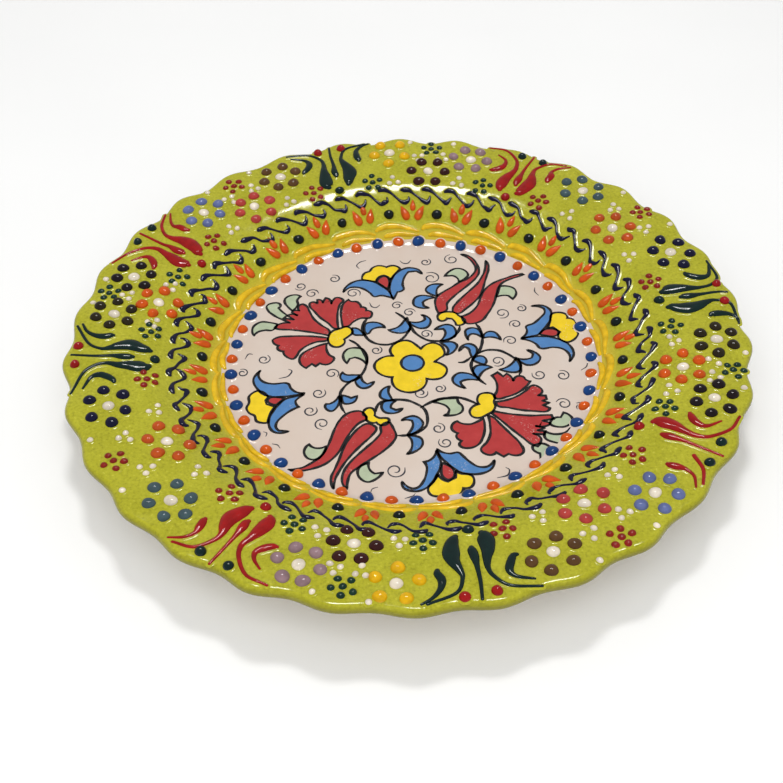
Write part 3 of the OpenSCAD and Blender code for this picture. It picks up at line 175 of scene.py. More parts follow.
# Printed lines in the well: the CAD's centre lines
STEM_W = 0.85
OUTLINE_W = 0.72
CURL_W = 0.38
STEMS = [
    [(-10.9, 17.1), (-12.1, 14.5), (-12.3, 12.2), (-11.4, 9.6), (-10.2, 7.7), (-8.1, 6.3), (-5.2, 5.9),
     (-2.7, 6.8), (-0.7, 8.7), (0.8, 11.5), (1.4, 13.8)],
    [(-16, 8.2), (-13.8, 6.4), (-12, 3.4), (-10.9, 0.1), (-11.1, -2.7), (-11.8, -4.9), (-13, -6.9),
     (-15.3, -8.5), (-16.9, -10.6), (-17.8, -12.8), (-17.6, -15.3), (-17.4, -17.8), (-16.3, -20.2)],
    [(15.1, 13.1), (14.8, 11.3), (13.5, 9.1), (11.7, 7.4), (8.8, 7), (6.3, 7.3), (4.1, 8.8),
     (2.3, 10.9), (1.4, 13.1), (0.2, 15.5), (-0.9, 17.4), (-3, 19.4)],
    [(19.6, 14), (20.7, 11.7), (21.2, 8.8), (20.9, 5.5), (20, 2.7), (18.5, 0.1), (17.6, -2.2),
     (17.6, -4.4), (18.2, -6.2), (19.3, -8.1), (20, -9.2), (21.2, -10.4)],
    [(19.6, 1.6), (21.1, 2.7), (23.2, 3.1), (25.7, 2.7), (27.9, 1.2), (29.6, -0.6), (30.7, -2.6),
     (30.8, -5.2), (30.2, -7)],
    [(3.4, -18.7), (5.2, -17.3), (7.4, -16), (9.9, -15.2), (13.1, -15), (15.3, -15.7), (17.1, -16.7),
     (18.7, -17.8)],
    [(-8.2, -19.8), (-8.1, -18.2), (-7, -16.4), (-4.8, -15.7), (-2.3, -15.5), (0.2, -15.9),
     (2.3, -17.1), (4, -18.5), (4.9, -20.3), (5.2, -22.5), (4.9, -25), (3.4, -26.8), (1.6, -27.9),
     (-0.5, -28.4), (-2.9, -28.4)],
    [(14, -1.7), (15.5, -1.6), (16.8, -0.6), (17.8, 0.6)],
]
CURL_TURNS = 1.35
CURL_TAPER = 0.75
# x, y, outer radius, angle at the outer end, direction
CURLS = [
    (-30.7, 31.5, 1.8, 210, 1), (-27.2, 28.2, 2, 0, 1), (-20.9, 34.7, 1.8, 110, -1),
    (-15.2, 28, 2.2, -30, 1), (1, 19.2, 1.8, 10, 1), (-2.5, 22.3, 1.7, 20, 1),
    (6.1, 41.7, 1.7, 60, -1), (7.6, 34.3, 2.7, 120, -1), (13.9, 42.8, 2.3, 100, 1),
    (27.3, 18.2, 2.2, 250, 1), (32.9, 20.2, 1.6, 100, -1), (30.8, 13.5, 1.8, 210, -1),
    (28.9, 6.7, 2, 200, -1), (24.8, -1.4, 2.1, 240, 1), (5.6, 10, 1.8, -40, 1),
    (-8.3, 3.7, 1.7, 60, -1), (-39.2, 0.8, 1.9, 60, -1), (-44.6, -4.4, 1.6, 120, -1),
    (-20.3, -5.2, 2, -40, 1), (-23.6, -12.6, 2, 40, -1), (-25.6, -19.1, 2, 40, -1),
    (-22.2, -23.8, 2.1, 270, -1), (-3.3, -40.2, 2.6, 20, -1), (7.9, -26.1, 1.9, 90, -1),
    (9.6, -31.1, 1.9, 140, 1), (3.6, -13.2, 2, 20, -1), (8.8, -11.6, 1.6, 60, -1),
    (35.6, -6.9, 2, 160, 1), (41.9, -7.4, 2, 110, -1), (41.1, -18, 2.1, 160, -1),
    (45.2, -19.2, 1.6, 120, -1),
]
HOOKS = [
    [(-11.6, 43), (-13.4, 42.2), (-14.4, 40.6), (-13.6, 39.2)],
    [(-1.5, 42.6), (-0.6, 41.4), (0.8, 41.3), (1.8, 42.8)],
    [(-10.4, 23.8), (-9.7, 22), (-8.4, 21.6), (-7.4, 22.7)],
    [(-32.2, -3.2), (-31.2, -4), (-32.2, -6), (-34.6, -6.8)],
    [(24.3, -39.8), (25.2, -40.6), (24.6, -42.4), (22, -43.2)],
    [(-34.8, -30.6), (-33.4, -31), (-32.6, -32.2)],
    [(-37.4, -26.3), (-36.4, -26.8), (-36.6, -28)], [(38.4, 25.6), (37.4, 27.4), (37.6, 29.2)],
    [(-44.4, 1), (-43.6, 3), (-42.4, 2.9)], [(-9.4, -47.6), (-9, -46.2), (-7.6, -45.6)],
    [(-1, -49.4), (1, -48.6), (1.6, -47.8)], [(47, -5.5), (48.6, -4.2), (49.2, -2.4)],
]

# Colours as seen, sRGB 0-255
GREEN_GLAZE = (176, 174, 34)
GREEN_GLAZE_DARK = (130, 128, 8)
GREEN_GLAZE_LIGHT = (208, 204, 78)
GREEN_CLOUD_DARK = (164, 161, 20)
GREEN_CLOUD_LIGHT = (192, 188, 50)
GREEN_CLOUD_SHARE = 0.4
WHITE_GLAZE = (216, 201, 189)
WHITE_WEAR = (206, 184, 166)
ARC_STAIN = (206, 178, 46)
STAIN_SHARE = 0.75
STAIN_FROM = 54
STAIN_TO = 57.5
# Darker glaze over the lip: thin glaze, with painted shade on the lip's side
LIP_GLAZE_THIN_AND_SHADED = (104, 98, 26)
LIP_THIN_AND_SHADE_SHARE = 0.75
BACK_GLAZE = (224, 214, 198)
BACK_WEAR = (186, 160, 128)
CLAY = (205, 168, 136)
CLAY_PORE = (0.1, 0.05, 0.03, 1)
CLAY_GRIT = (120, 84, 62)
SCUFF = (222, 208, 200)
GREEN_SHINE = 0.36
ENAMEL_SHINE = 0.26
PRINT_SHINE = 0.35
FLOOR_DARK = (252, 252, 251)
FLOOR_LIGHT = (254, 254, 253)
ENAMEL = {
    "enamel_blue": (12, 60, 122), "enamel_amber": (208, 84, 12), "enamel_teal": (5, 18, 17),
    "enamel_yellow": (228, 186, 28), "enamel_navy": (8, 8, 44), "enamel_red": (152, 14, 14),
    "enamel_green": (4, 32, 30), "enamel_rust": (188, 78, 24), "enamel_slate": (64, 84, 90),
    "enamel_mauve": (146, 118, 124), "enamel_maroon": (52, 14, 12), "enamel_ochre": (228, 176, 6),
    "enamel_olive": (92, 62, 32), "enamel_coral": (178, 62, 56), "enamel_periwinkle": (98, 110, 160),
    "enamel_aubergine": (22, 10, 14), "enamel_orange": (206, 82, 10), "enamel_umber": (36, 28, 8),
    "enamel_white": (232, 220, 200), "enamel_crimson": (134, 28, 16), "enamel_moss": (16, 48, 34),
}
PRINT = {
    "print_red": (178, 52, 52), "print_yellow": (238, 204, 28), "print_blue": (78, 128, 184),
    "print_sage": (178, 190, 160), "print_black": (20, 20, 22), "print_grey": (58, 58, 66),
}


# ---------------------------------------------------------------- surface of the plate
def curve_through(points):
    """Height as a smooth function of radius, through the points and with no overshoot."""
    x, y = np.array(points, float).T
    step = np.diff(x)
    rise = np.diff(y) / step
    slope = np.zeros_like(x)
    slope[0], slope[-1] = rise[0], rise[-1]
    same = rise[:-1] * rise[1:] > 0
    slope[1:-1][same] = 2 * (rise[:-1] * rise[1:])[same] / (rise[:-1] + rise[1:])[same]

    def value(r):
        k = np.clip(np.searchsorted(x, r, side="right") - 1, 0, len(step) - 1)
        h = step[k]
        t = (np.clip(r, x[0], x[-1]) - x[k]) / h
        start = (1 + 2 * t) * (1 - t) ** 2 * y[k] + t * (1 - t) ** 2 * h * slope[k]
        return start + t * t * (3 - 2 * t) * y[k + 1] + t * t * (t - 1) * h * slope[k + 1]

    return value


top_curve = curve_through(TOP)
under_curve = curve_through(UNDER)


def ruffle(a):
    """1 over the crest of a scallop and -1 in its notch, with a little unevenness."""
    uneven = 0.1 * np.cos(7 * a + 1.3) + 0.08 * np.cos(13 * a + 0.4)
    return (1 - 0.18 + uneven) * np.cos(N_LOBES * (a - math.radians(LOBE_TURN)))


def rim_share(r):
    """How fully the scallops show at radius r: 0 inside the rim, 1 at its edge."""
    t = np.clip((r - RUFFLE_FROM) / (LIP_C[0] - RUFFLE_FROM), 0, 1)
    return t * t * (3 - 2 * t)


def scalloped(r, a, z):
    """Points in space for radius r, angle a and height z, with the rim's scallops worked in."""
    share = rim_share(r)
    radius = r + share ** 2 * LOBE_DEPTH / 2 * (ruffle(a) - 1)
    return np.stack([radius * np.cos(a), radius * np.sin(a), z + share * RUFFLE_H * ruffle(a)], -1)


def ground(p):
    """Height of the glaze at plan points p[..., 2]."""
    q = np.hypot(p[..., 0], p[..., 1])
    wave = ruffle(np.arctan2(p[..., 1], p[..., 0]))
    r = q
    for _ in range(3):
        r = q - rim_share(r) ** 2 * LOBE_DEPTH / 2 * (wave - 1)
    return top_curve(np.minimum(r, LIP_C[0])) + rim_share(r) * RUFFLE_H * wave


def ground_normal(p):
    """Unit normals of the glaze at plan points p[..., 2]."""
    reach = 0.15
    east = (ground(p + [reach, 0]) - ground(p - [reach, 0])) / (2 * reach)
    north = (ground(p + [0, reach]) - ground(p - [0, reach])) / (2 * reach)
    n = np.stack([-east, -north, np.ones_like(east)], -1)
    return n / np.linalg.norm(n, axis=-1, keepdims=True)


def on_ground(p, up, n):
    """Points up above the glaze at plan points p, along n."""
    base = np.concatenate([p, ground(p)[..., None]], -1)
    return base + np.asarray(up)[..., None] * n


# ---------------------------------------------------------------- meshes
class Shape:
    """Points and faces of one piece while it is put together, and each point's share of full height."""

    def __init__(self):
        self.points = []
        self.faces = []
        self.crown = []

    def add(self, points, crown):
        """Adds points and returns the number of the first."""
        start = len(self.points)
        self.points.extend(points)
        self.crown.extend(crown)
        return start

    def loft(self, rings, crowns, around=False):
        """Skins equal closed rings of points, and caps the ends or goes around to the first ring."""
        count, size = len(rings), len(rings[0])
        start = self.add(np.reshape(rings, (-1, 3)), np.reshape(crowns, -1))
        for i in range(count if around else count - 1):
            here = start + i * size
            there = start + (i + 1) % count * size
            for k in range(size):
                nxt = (k + 1) % size
                self.faces.append((here + k, here + nxt, there + nxt, there + k))
        if not around:
            self.faces.append(tuple(start + k for k in range(size))[::-1])
            self.faces.append(tuple(start + (count - 1) * size + k for k in range(size)))

    def piece(self, name, material, nodes, slot, sharp=40):
        """Makes the object: it rides on the body and stands for the CAD nodes; slot is not used."""
        mesh = bpy.data.meshes.new(name)
        mesh.from_pydata((np.array(self.points) * UNIT).tolist(), [], self.faces)
        crown = mesh.attributes.new("crown", "FLOAT", "POINT")
        crown.data.foreach_set("value", np.array(self.crown, np.float32))
        tidy = bmesh.new()
        tidy.from_mesh(mesh)
        bmesh.ops.remove_doubles(tidy, verts=tidy.verts, dist=UNIT * 1e-4)
        bmesh.ops.recalc_face_normals(tidy, faces=tidy.faces)
        tidy.to_mesh(mesh)
        tidy.free()
        mesh.shade_smooth()
        mesh.set_sharp_from_angle(angle=math.radians(sharp))
        mesh.materials.append(material)
        obj = bpy.data.objects.new(name, mesh)
        bpy.context.scene.collection.objects.link(obj)
        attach(obj, "root")
        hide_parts(*nodes)
        return obj


def revolve(shape, section, columns=720, crown=0.0):
    """Turns a closed (radius, height) section, or the one section gives for an angle, round the axis."""
    rings = []
    for a in np.linspace(0, 2 * math.pi, columns, endpoint=False):
        here = section(a) if callable(section) else section
        r, z = np.array(here, float).T
        rings.append(scalloped(r, np.full_like(r, a), z))
    shape.loft(rings, np.broadcast_to(crown, np.shape(rings)[:2]), around=True)


def spread(curve, start, end, count, lift=0.0):
    """Section points on a curve, at even steps of radius, raised by lift."""
    return [(r, float(curve(np.float64(r))) + lift) for r in np.linspace(start, end, count)]


def lip(radius, start, end, count):
    """Section points round the centre of the lip."""
    angles = np.radians(np.linspace(start, end, count))
    return [(LIP_C[0] + radius * math.cos(a), LIP_C[1] + radius * math.sin(a)) for a in angles]


def catmull(points, spacing):
    """Points about spacing apart on a smooth open curve through rows of numbers, x and y first."""
    p = np.array(points, float)
    before = np.vstack([2 * p[0] - p[1], p[:-1]])
    after = np.vstack([p[1:], 2 * p[-1] - p[-2]])
    out = []
    for i in range(len(p) - 1):
        a, b, c, d = before[i], p[i], p[i + 1], after[i + 1]
        count = max(2, int(np.linalg.norm(c[:2] - b[:2]) / spacing))
        for t in np.arange(count) / count:
            bend = (2 * a - 5 * b + 4 * c - d) + t * (3 * (b - c) + d - a)
            out.append(b + t / 2 * ((c - a) + t * bend))
    out.append(p[-1])
    return np.array(out)


def directions(path):
    """Unit directions along a path."""
    d = np.gradient(path, axis=0)
    return d / np.linalg.norm(d, axis=1, keepdims=True)


# ---------------------------------------------------------------- enamel on the glaze
rng = random.Random(SEED)
SKIRT_W = 0.5
SKIRT_H = 0.22
SKIRT_SHARE = 0.3
SKIRT_HOLLOW = 2.2
SUNK = 0.1
# How far hand-laid beads and strokes differ: shares of a size, or millimetres for BEAD_LOOSE
BEAD_LOOSE = 0.25
BEAD_WIDER = (0.94, 1.05)
BEAD_HIGHER = (0.9, 1.04)
BEAD_OVAL = 0.07
BEAD_THREE = 0.035
STROKE_WIDER = (0.94, 1.06)
DROP_LARGER = (0.92, 1.08)
DROP_LEAN = 7
STROKE_STEP = 0.4
STROKE_LEAST = 0.22


def skirt(shape, outline, outward, lift):
    """Glaze drawn up in a hollow curve against the foot of an enamel bead or stroke."""
    n = ground_normal(outline)
    rings = []
    for t in (-0.25, 0, 0.2, 0.42, 0.68, 1):
        p = outline + outward * SKIRT_W * t
        up = lift * (1 - max(t, 0)) ** SKIRT_HOLLOW - (0.02 if t == 1 else 0)
        rings.append(on_ground(p, np.full(len(p), up), n))
    low = on_ground(outline + outward * SKIRT_W, np.full(len(outline), -SUNK), n)
    inner = on_ground(outline - outward * SKIRT_W * 0.25, np.full(len(outline), -SUNK), n)
    rings.extend([low, inner])
    shape.loft(rings, np.zeros((len(rings), len(outline))), around=True)


def bead(shape, glaze, r, a, d, h):
    """A domed drop of enamel at radius r and angle a in degrees, each a little different."""
    segments, rows = 28, 8
    turn = math.radians(a)
    centre = np.array([r * math.cos(turn), r * math.sin(turn)])
    centre = centre + [rng.uniform(-BEAD_LOOSE, BEAD_LOOSE), rng.uniform(-BEAD_LOOSE, BEAD_LOOSE)]
    radius = d / 2 * rng.uniform(*BEAD_WIDER)
    height = h * rng.uniform(*BEAD_HIGHER)
    long, long_at = rng.uniform(0, BEAD_OVAL), rng.uniform(0, math.pi)
    three, three_at = rng.uniform(0, BEAD_THREE), rng.uniform(0, 2 * math.pi)
    phi = np.linspace(0, 2 * math.pi, segments, endpoint=False)
    swell = 1 + long * np.cos(2 * (phi - long_at)) + three * np.cos(3 * (phi - three_at))
    n = ground_normal(centre[None])[0]
    east = np.cross([0, 1, 0], n)
    east = east / np.linalg.norm(east)
    north = np.cross(n, east)
    around = np.cos(phi)[:, None] * east[:2] + np.sin(phi)[:, None] * north[:2]
    rings = [on_ground(centre + around * (radius * swell)[:, None], np.full(segments, -SUNK), n)]
    crowns = [np.zeros(segments)]
    for k in range(rows):
        t = math.pi / 2 * k / rows
        p = centre + around * (radius * math.cos(t) * swell)[:, None]
        rings.append(on_ground(p, np.full(segments, height * math.sin(t)), n))
        crowns.append(np.full(segments, math.sin(t)))
    shape.loft(rings, crowns)
    lift = min(SKIRT_H, SKIRT_SHARE * height)
    skirt(glaze, centre + around * (radius * swell)[:, None], around, lift)


def ridge(shape, glaze, path, half, height, skirted=True):
    """A rounded ridge of enamel along plan points path, with half widths and heights."""
    across = 10
    d = directions(path)
    ends = np.radians([78, 55, 32, 12])
    head, tail = [], []
    for t in ends:
        beyond, level = math.sin(t), math.cos(t)
        head.append((path[0] - d[0] * half[0] * beyond, half[0] * level, height[0] * level, d[0]))
        tail.append((path[-1] + d[-1] * half[-1] * beyond, half[-1] * level, height[-1] * level, d[-1]))
    stations = head + list(zip(path, half, height, d)) + tail[::-1]
    angles = np.linspace(math.pi, 0, across + 1)
    rings, crowns, left, right, left_out, right_out = [], [], [], [], [], []
    for i, (c, w, h, t) in enumerate(stations):
        side = np.array([-t[1], t[0]])
        n = ground_normal(c[None])[0]
        p = c + (w * np.cos(angles))[:, None] * side
        up = h * np.sin(angles)
        foot = on_ground(p[[0, -1]], np.full(2, -SUNK), n)
        ring = on_ground(p, up, n)
        rings.append(np.vstack([foot[:1], ring, foot[1:]]))
        crowns.append(np.concatenate([[0], np.sin(angles), [0]]))
        lean = 0.0
        if i < len(head):
            lean = -math.sin(ends[i])
        if i >= len(stations) - len(tail):
            lean = math.sin(ends[len(stations) - 1 - i])
        level = math.sqrt(1 - lean * lean)
        left.append(c + w * side)
        right.append(c - w * side)
        left_out.append(side * level + t * lean)
        right_out.append(-side * level + t * lean)
    shape.loft(rings, crowns)
    if skirted:
        outline = np.array(left + right[::-1])
        outward = np.array(left_out + right_out[::-1])
        skirt(glaze, outline, outward, min(SKIRT_H, SKIRT_SHARE * float(np.mean(height))))


def stroke_height(half):
    """Height of a brushed stroke where its half width is half."""
    return np.minimum(STROKE_H, 0.2 + 0.62 * half)


def stroke(shape, glaze, points, a, away, shake=0.2, skirted=True):
    """A brushed stroke at angle a, moved outward by away: points are (sideways, outward, half width)."""
    turn = math.radians(a + rng.uniform(-shake, shake))
    grow = rng.uniform(*STROKE_WIDER)
    rows = []
    for side, out, half in points:
        side = side + rng.uniform(-shake, shake)
        out = out + away + rng.uniform(-shake, shake)
        x = out * math.cos(turn) + side * math.sin(turn)
        y = out * math.sin(turn) - side * math.cos(turn)
        p = np.array([x, y])
        far = np.linalg.norm(p)
        p = p * min(1, STROKE_LIMIT / far)
        rows.append((*p, half * grow))
    fine = catmull(rows, STROKE_STEP)
    half = np.maximum(fine[:, 2], STROKE_LEAST)
    ridge(shape, glaze, fine[:, :2], half, stroke_height(half), skirted)


def off_centre(a):
    """How much further out the painted rings lie at angle a."""
    return RING_SHIFT * math.cos(math.radians(a)) - RING_OVAL * math.cos(math.radians(2 * a))


def teardrop(shape, glaze, r, a, lean, size):
    """A drop of enamel with its fat end at radius r and its thin end pointing outward."""
    a = a + rng.uniform(-0.3, 0.3)
    heading = math.radians(a + lean + rng.uniform(-DROP_LEAN, DROP_LEAN))
    start = np.array([r * math.cos(math.radians(a)), r * math.sin(math.radians(a))])
    size = size * rng.uniform(*DROP_LARGER)
    w = COLLAR_PETAL_W * size
    far = COLLAR_PETAL_LEN * size - w
    along = [-0.15 * w, 0.35 * w, 0.4 * far, 0.58 * far, 0.78 * far, far]
    half = w * np.array([0.97, 1, 0.85, 0.66, 0.42, 0.15])
    ahead = np.array([math.cos(heading), math.sin(heading)])
    fine = catmull([(*(start + ahead * u), w) for u, w in zip(along, half)], STROKE_STEP)
    ridge(shape, glaze, fine[:, :2], fine[:, 2], 0.9 * fine[:, 2] ** 0.8)


def gap_w(g):
    """Angle between spray g and the next."""
    return (TULIP_A[(g + 1) % len(TULIP_A)] - TULIP_A[g]) % 360


def gap_a(g, share):
    """Angle at a share of the gap between spray g and the next."""
    return TULIP_A[g] + share * gap_w(g)


def three_a(g, k, inset):
    """Angle of the first, middle or last of three things in a gap, the outer two set in from its ends."""
    return gap_a(g, k / 2) + (1 - k) * inset


def flower_bead(shape, glaze, r, a, d, h):
    """A bead of the rim's flowers, which lie off centre as a ring."""
    bead(shape, glaze, r + FLOWER_SHIFT * math.cos(math.radians(a)), a, d, h)


def flower_out(g, k):
    """How much further out than its radius flower k of gap g was set."""
    if k == 1:
        return MIDDLE_OUT[g]
    return YELLOW_OUT if k == 2 and g % len(PETAL_NODES) == YELLOW_SET else 0


def flower_ring(shape, glaze, r, a, count, ring_r, d, h, first=0.0, width=1.0):
    """A ring of count beads round radius r and angle a; width below 1 narrows it along the rim."""
    for j in range(count):
        t = math.radians(j * 360 / count + first)
        out, side = r + ring_r * math.cos(t), width * ring_r * math.sin(t)
        flower_bead(shape, glaze, math.hypot(out, side), a + math.degrees(math.atan2(side, out)), d, h)


# ---------------------------------------------------------------- printed transfer
def top_loops(node):
    """Outer outlines of the flat tops of a printed layer's solids, as anticlockwise plan points."""
    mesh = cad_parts[node].data
    mesh.calc_loop_triangles()
    points = np.array([v.co for v in mesh.vertices]) / UNIT
    high = points[:, 2].max()
    places = {}
    ident = [places.setdefault(tuple(np.round(p[:2], 3)), i) for i, p in enumerate(points)]
    edges = set()
    for tri in mesh.loop_triangles:
        corner = points[list(tri.vertices)]
        if np.any(np.abs(corner[:, 2] - high) > 0.01):
            continue
        ids = [ident[i] for i in tri.vertices]
        if np.cross(corner[1][:2] - corner[0][:2], corner[2][:2] - corner[0][:2]) < 0:
            ids.reverse()
        edges.update(zip(ids, ids[1:] + ids[:1]))
    onward = {}
    for a, b in sorted(edges):
        if (b, a) not in edges:
            onward.setdefault(a, []).append(b)
    loops = []
    while onward:
        start = min(onward)
        loop = [start]
        here = onward[start].pop()
        while here != start:
            loop.append(here)
            here = onward[here].pop()
        onward = {a: b for a, b in onward.items() if b}
        loop = points[loop][:, :2]
        nxt = np.roll(loop, -1, axis=0)
        if np.sum(loop[:, 0] * nxt[:, 1] - loop[:, 1] * nxt[:, 0]) > 0:
            loops.append(loop)
    return loops


# Turns of an outline, in degrees, from which a corner stays sharp
CONVEX_CORNER = 72
HOLLOW_CORNER = 42
PRINT_STEP = 0.3
MITRE_LIMIT = 1.3
LINE_TAPER = 0.45
TAPER_LEN = 1.5
LINE_WANDER = 0.18
OUTLINE_WANDER = 0.2


def rounded(loop):
    """A closed outline drawn as flowing curves between its sharp corners."""
    back = loop - np.roll(loop, 1, axis=0)
    ahead = np.roll(loop, -1, axis=0) - loop
    back_u = back / np.linalg.norm(back, axis=1, keepdims=True)
    ahead_len = np.linalg.norm(ahead, axis=1, keepdims=True)
    ahead_u = ahead / ahead_len
    turn = np.degrees(np.arctan2(np.cross(back_u, ahead_u), np.sum(back_u * ahead_u, axis=1)))
    corner = (turn > CONVEX_CORNER) | (turn < -HOLLOW_CORNER)
    through = back_u + ahead_u
    through = through / np.linalg.norm(through, axis=1, keepdims=True)
    out = []
    for i in range(len(loop)):
        j = (i + 1) % len(loop)
        leave, arrive = through[i], through[j]
        if corner[i] and corner[j]:
            leave = arrive = ahead_u[i]
        elif corner[i]:
            leave = 2 * np.dot(ahead_u[i], arrive) * ahead_u[i] - arrive
        elif corner[j]:
            arrive = 2 * np.dot(ahead_u[i], leave) * ahead_u[i] - leave
        length = ahead_len[i][0]
        count = max(2, int(length / PRINT_STEP))
        for t in np.arange(count) / count:
            start = (1 + 2 * t) * (1 - t) ** 2 * loop[i] + t * (1 - t) ** 2 * length * leave
            out.append(start + t * t * (3 - 2 * t) * loop[j] + t * t * (t - 1) * length * arrive)
    return np.array(out)


PRINT_Z = TOP[0][1]
PRINT_FOOT = PRINT_Z - 0.05


def slab(shape, loop, top):
    """A flat printed area with the outline loop."""
    low = np.column_stack([loop, np.full(len(loop), PRINT_FOOT)])
    high = np.column_stack([loop, np.full(len(loop), PRINT_Z + top)])
    shape.loft([low, high], np.zeros((2, len(loop))))


def ribbon(shape, path, half, top, closed):
    """A flat printed line along path, half a width to each side, with mitred corners."""
    if closed:
        back = path - np.roll(path, 1, axis=0)
        ahead = np.roll(path, -1, axis=0) - path
    else:
        ahead = np.vstack([np.diff(path, axis=0), path[-1] - path[-2]])
        back = np.vstack([ahead[0], np.diff(path, axis=0)])
    back = back / np.linalg.norm(back, axis=1, keepdims=True)
    ahead = ahead / np.linalg.norm(ahead, axis=1, keepdims=True)
    side = np.column_stack([-(back + ahead)[:, 1], (back + ahead)[:, 0]])
    reach = np.minimum(2 / np.maximum(np.sum(side * side, axis=1), 0.35), MITRE_LIMIT)
    side = side * reach[:, None] * half[:, None]
    left, right = path + side, path - side
    rings = []
    for a, b in zip(left, right):
        rings.append([(*a, PRINT_FOOT), (*b, PRINT_FOOT), (*b, PRINT_Z + top), (*a, PRINT_Z + top)])
    shape.loft(rings, np.zeros((len(rings), 4)), around=closed)


def wandering(count, amount):
    """Line widths that wander a little, as a hand-drawn line's do."""
    t = np.arange(count)
    first, second = rng.uniform(0, 6), rng.uniform(0, 6)
    return 1 + amount * (0.6 * np.sin(t * 0.23 + first) + 0.4 * np.sin(t * 0.61 + second))


def drawn_line(shape, points, width, top):
    """A printed brush line through points, thinner toward its ends."""
    path = catmull(points, PRINT_STEP)
    from_end = np.minimum(np.arange(len(path)), np.arange(len(path))[::-1]) * PRINT_STEP
    share = LINE_TAPER + (1 - LINE_TAPER) * np.clip(from_end / TAPER_LEN, 0, 1)
    half = width / 2 * wandering(len(path), LINE_WANDER) * share
    ribbon(shape, path, half, top, False)


# ---------------------------------------------------------------- materials
def linear(colour):
    """An sRGB colour of 0-255 as linear light."""
    parts = [c / 255 for c in colour]
    return tuple(c / 12.92 if c <= 0.04045 else ((c + 0.055) / 1.055) ** 2.4 for c in parts) + (1.0,)


def scaled(colour, share):
    """A linear colour made darker or lighter."""
    return tuple(min(c * share, 1.0) for c in colour[:3]) + (1.0,)


def blend(colour, other, share):
    """A share of the way from one colour to another."""
    return tuple(a + (b - a) * share for a, b in zip(colour, other))


class Material:
    """A node material whose textures are laid out in the plate's own millimetres."""

    def __init__(self, name):
        self.material = bpy.data.materials.new(name)
        self.material.use_nodes = True
        self.tree = self.material.node_tree
        self.shader = self.tree.nodes["Principled BSDF"]
        self.place = self.tree.nodes.new("ShaderNodeTexCoord").outputs["Object"]

    def node(self, kind, **values):
        """A new node with its settings."""
        node = self.tree.nodes.new(kind)
        for key, value in values.items():
            setattr(node, key, value)
        return node

    def link(self, source, target):
        self.tree.links.new(source, target)

    def noise(self, size, detail=3.0, roughness=0.5):
        """Noise whose lumps are about size millimetres."""
        node = self.node("ShaderNodeTexNoise")
        node.inputs["Scale"].default_value = 1 / (size * UNIT)
        node.inputs["Detail"].default_value = detail
        node.inputs["Roughness"].default_value = roughness
        self.link(self.place, node.inputs["Vector"])
        return node.outputs["Fac"]

    def ramp(self, source, stops):
        """Colours at positions along a value."""
        node = self.node("ShaderNodeValToRGB")
        elements = node.color_ramp.elements
        for i, (position, colour) in enumerate(stops):
            element = elements[i] if i < 2 else elements.new(position)
            element.position = position
            element.color = colour
        self.link(source, node.inputs["Fac"])
        return node.outputs["Color"]

    def grey(self, source, low, high, start=0.3, end=0.7):
        """Maps a value from start..end to low..high."""
        node = self.node("ShaderNodeMapRange")
        for key, value in zip(("From Min", "From Max", "To Min", "To Max"), (start, end, low, high)):
            node.inputs[key].default_value = value
        self.link(source, node.inputs["Value"])
        return node.outputs["Result"]

    def mix(self, share, a, b):
        """A share of the way from colour a to colour b."""
        node = self.node("ShaderNodeMix", data_type="RGBA", blend_type="MIX")
        for socket, value in (("Factor_Float", share), ("A_Color", a), ("B_Color", b)):
            target = next(s for s in node.inputs if s.identifier == socket)
            if isinstance(value, bpy.types.NodeSocket):
                self.link(value, target)
            else:
                target.default_value = value
        return next(s for s in node.outputs if s.identifier == "Result_Color")

    def bump(self, source, height, strength=1.0):
        """Bump of a height in millimetres."""
        node = self.node("ShaderNodeBump")
        node.inputs["Strength"].default_value = strength
        node.inputs["Distance"].default_value = height * UNIT
        self.link(source, node.inputs["Height"])
        self.link(node.outputs["Normal"], self.shader.inputs["Normal"])

    def attribute(self, name):
        """The value each point of the mesh carries under a name."""
        return self.node("ShaderNodeAttribute", attribute_name=name).outputs["Fac"]

    def finish(self, colour, roughness, specular=0.5):
        """Joins colour and roughness to the shader."""
        self.link(colour, self.shader.inputs["Base Color"])
        if isinstance(roughness, bpy.types.NodeSocket):
            self.link(roughness, self.shader.inputs["Roughness"])
        else:
            self.shader.inputs["Roughness"].default_value = roughness
        self.shader.inputs["Specular IOR Level"].default_value = specular
        return self.material


def green_glaze():
    """Yellow-green glaze, finely mottled, stained by the arcs, and darkened over the lip: thin glaze
    there, with painted shade on the lip's side.
    """
    m = Material("green_glaze")
    light, mid, dark = linear(GREEN_GLAZE_LIGHT), linear(GREEN_GLAZE), linear(GREEN_GLAZE_DARK)
    between = blend(dark, mid, 0.7)
    grain = m.ramp(m.noise(0.75, 3.0, 0.62), [(0.32, dark), (0.62, mid), (0.46, between), (0.75, light)])
    cloud = m.ramp(m.noise(9.0, 2.0), [(0.3, linear(GREEN_CLOUD_DARK)), (0.7, linear(GREEN_CLOUD_LIGHT))])
    colour = m.mix(GREEN_CLOUD_SHARE, grain, cloud)
    from_axis = m.node("ShaderNodeVectorMath", operation="DISTANCE")
    from_axis.inputs[1].default_value = (RING_SHIFT * UNIT, 0, 0)
    m.link(m.place, from_axis.inputs[0])
    stain = m.grey(from_axis.outputs["Value"], STAIN_SHARE, 0.0, STAIN_FROM * UNIT, STAIN_TO * UNIT)
    colour = m.mix(stain, colour, linear(ARC_STAIN))
    # Painted shade on the lip's side, together with thin glaze there: the glaze darkens past the top of
    # the lip.
    thin = m.grey(m.attribute("crown"), 0.0, LIP_THIN_AND_SHADE_SHARE, 0.2, 0.9)
    colour = m.mix(thin, colour, linear(LIP_GLAZE_THIN_AND_SHADED))
    m.bump(m.noise(1.6, 2.0), 0.02, 0.6)
    return m.finish(colour, m.grey(m.noise(2.5), 0.09, 0.17), GREEN_SHINE)


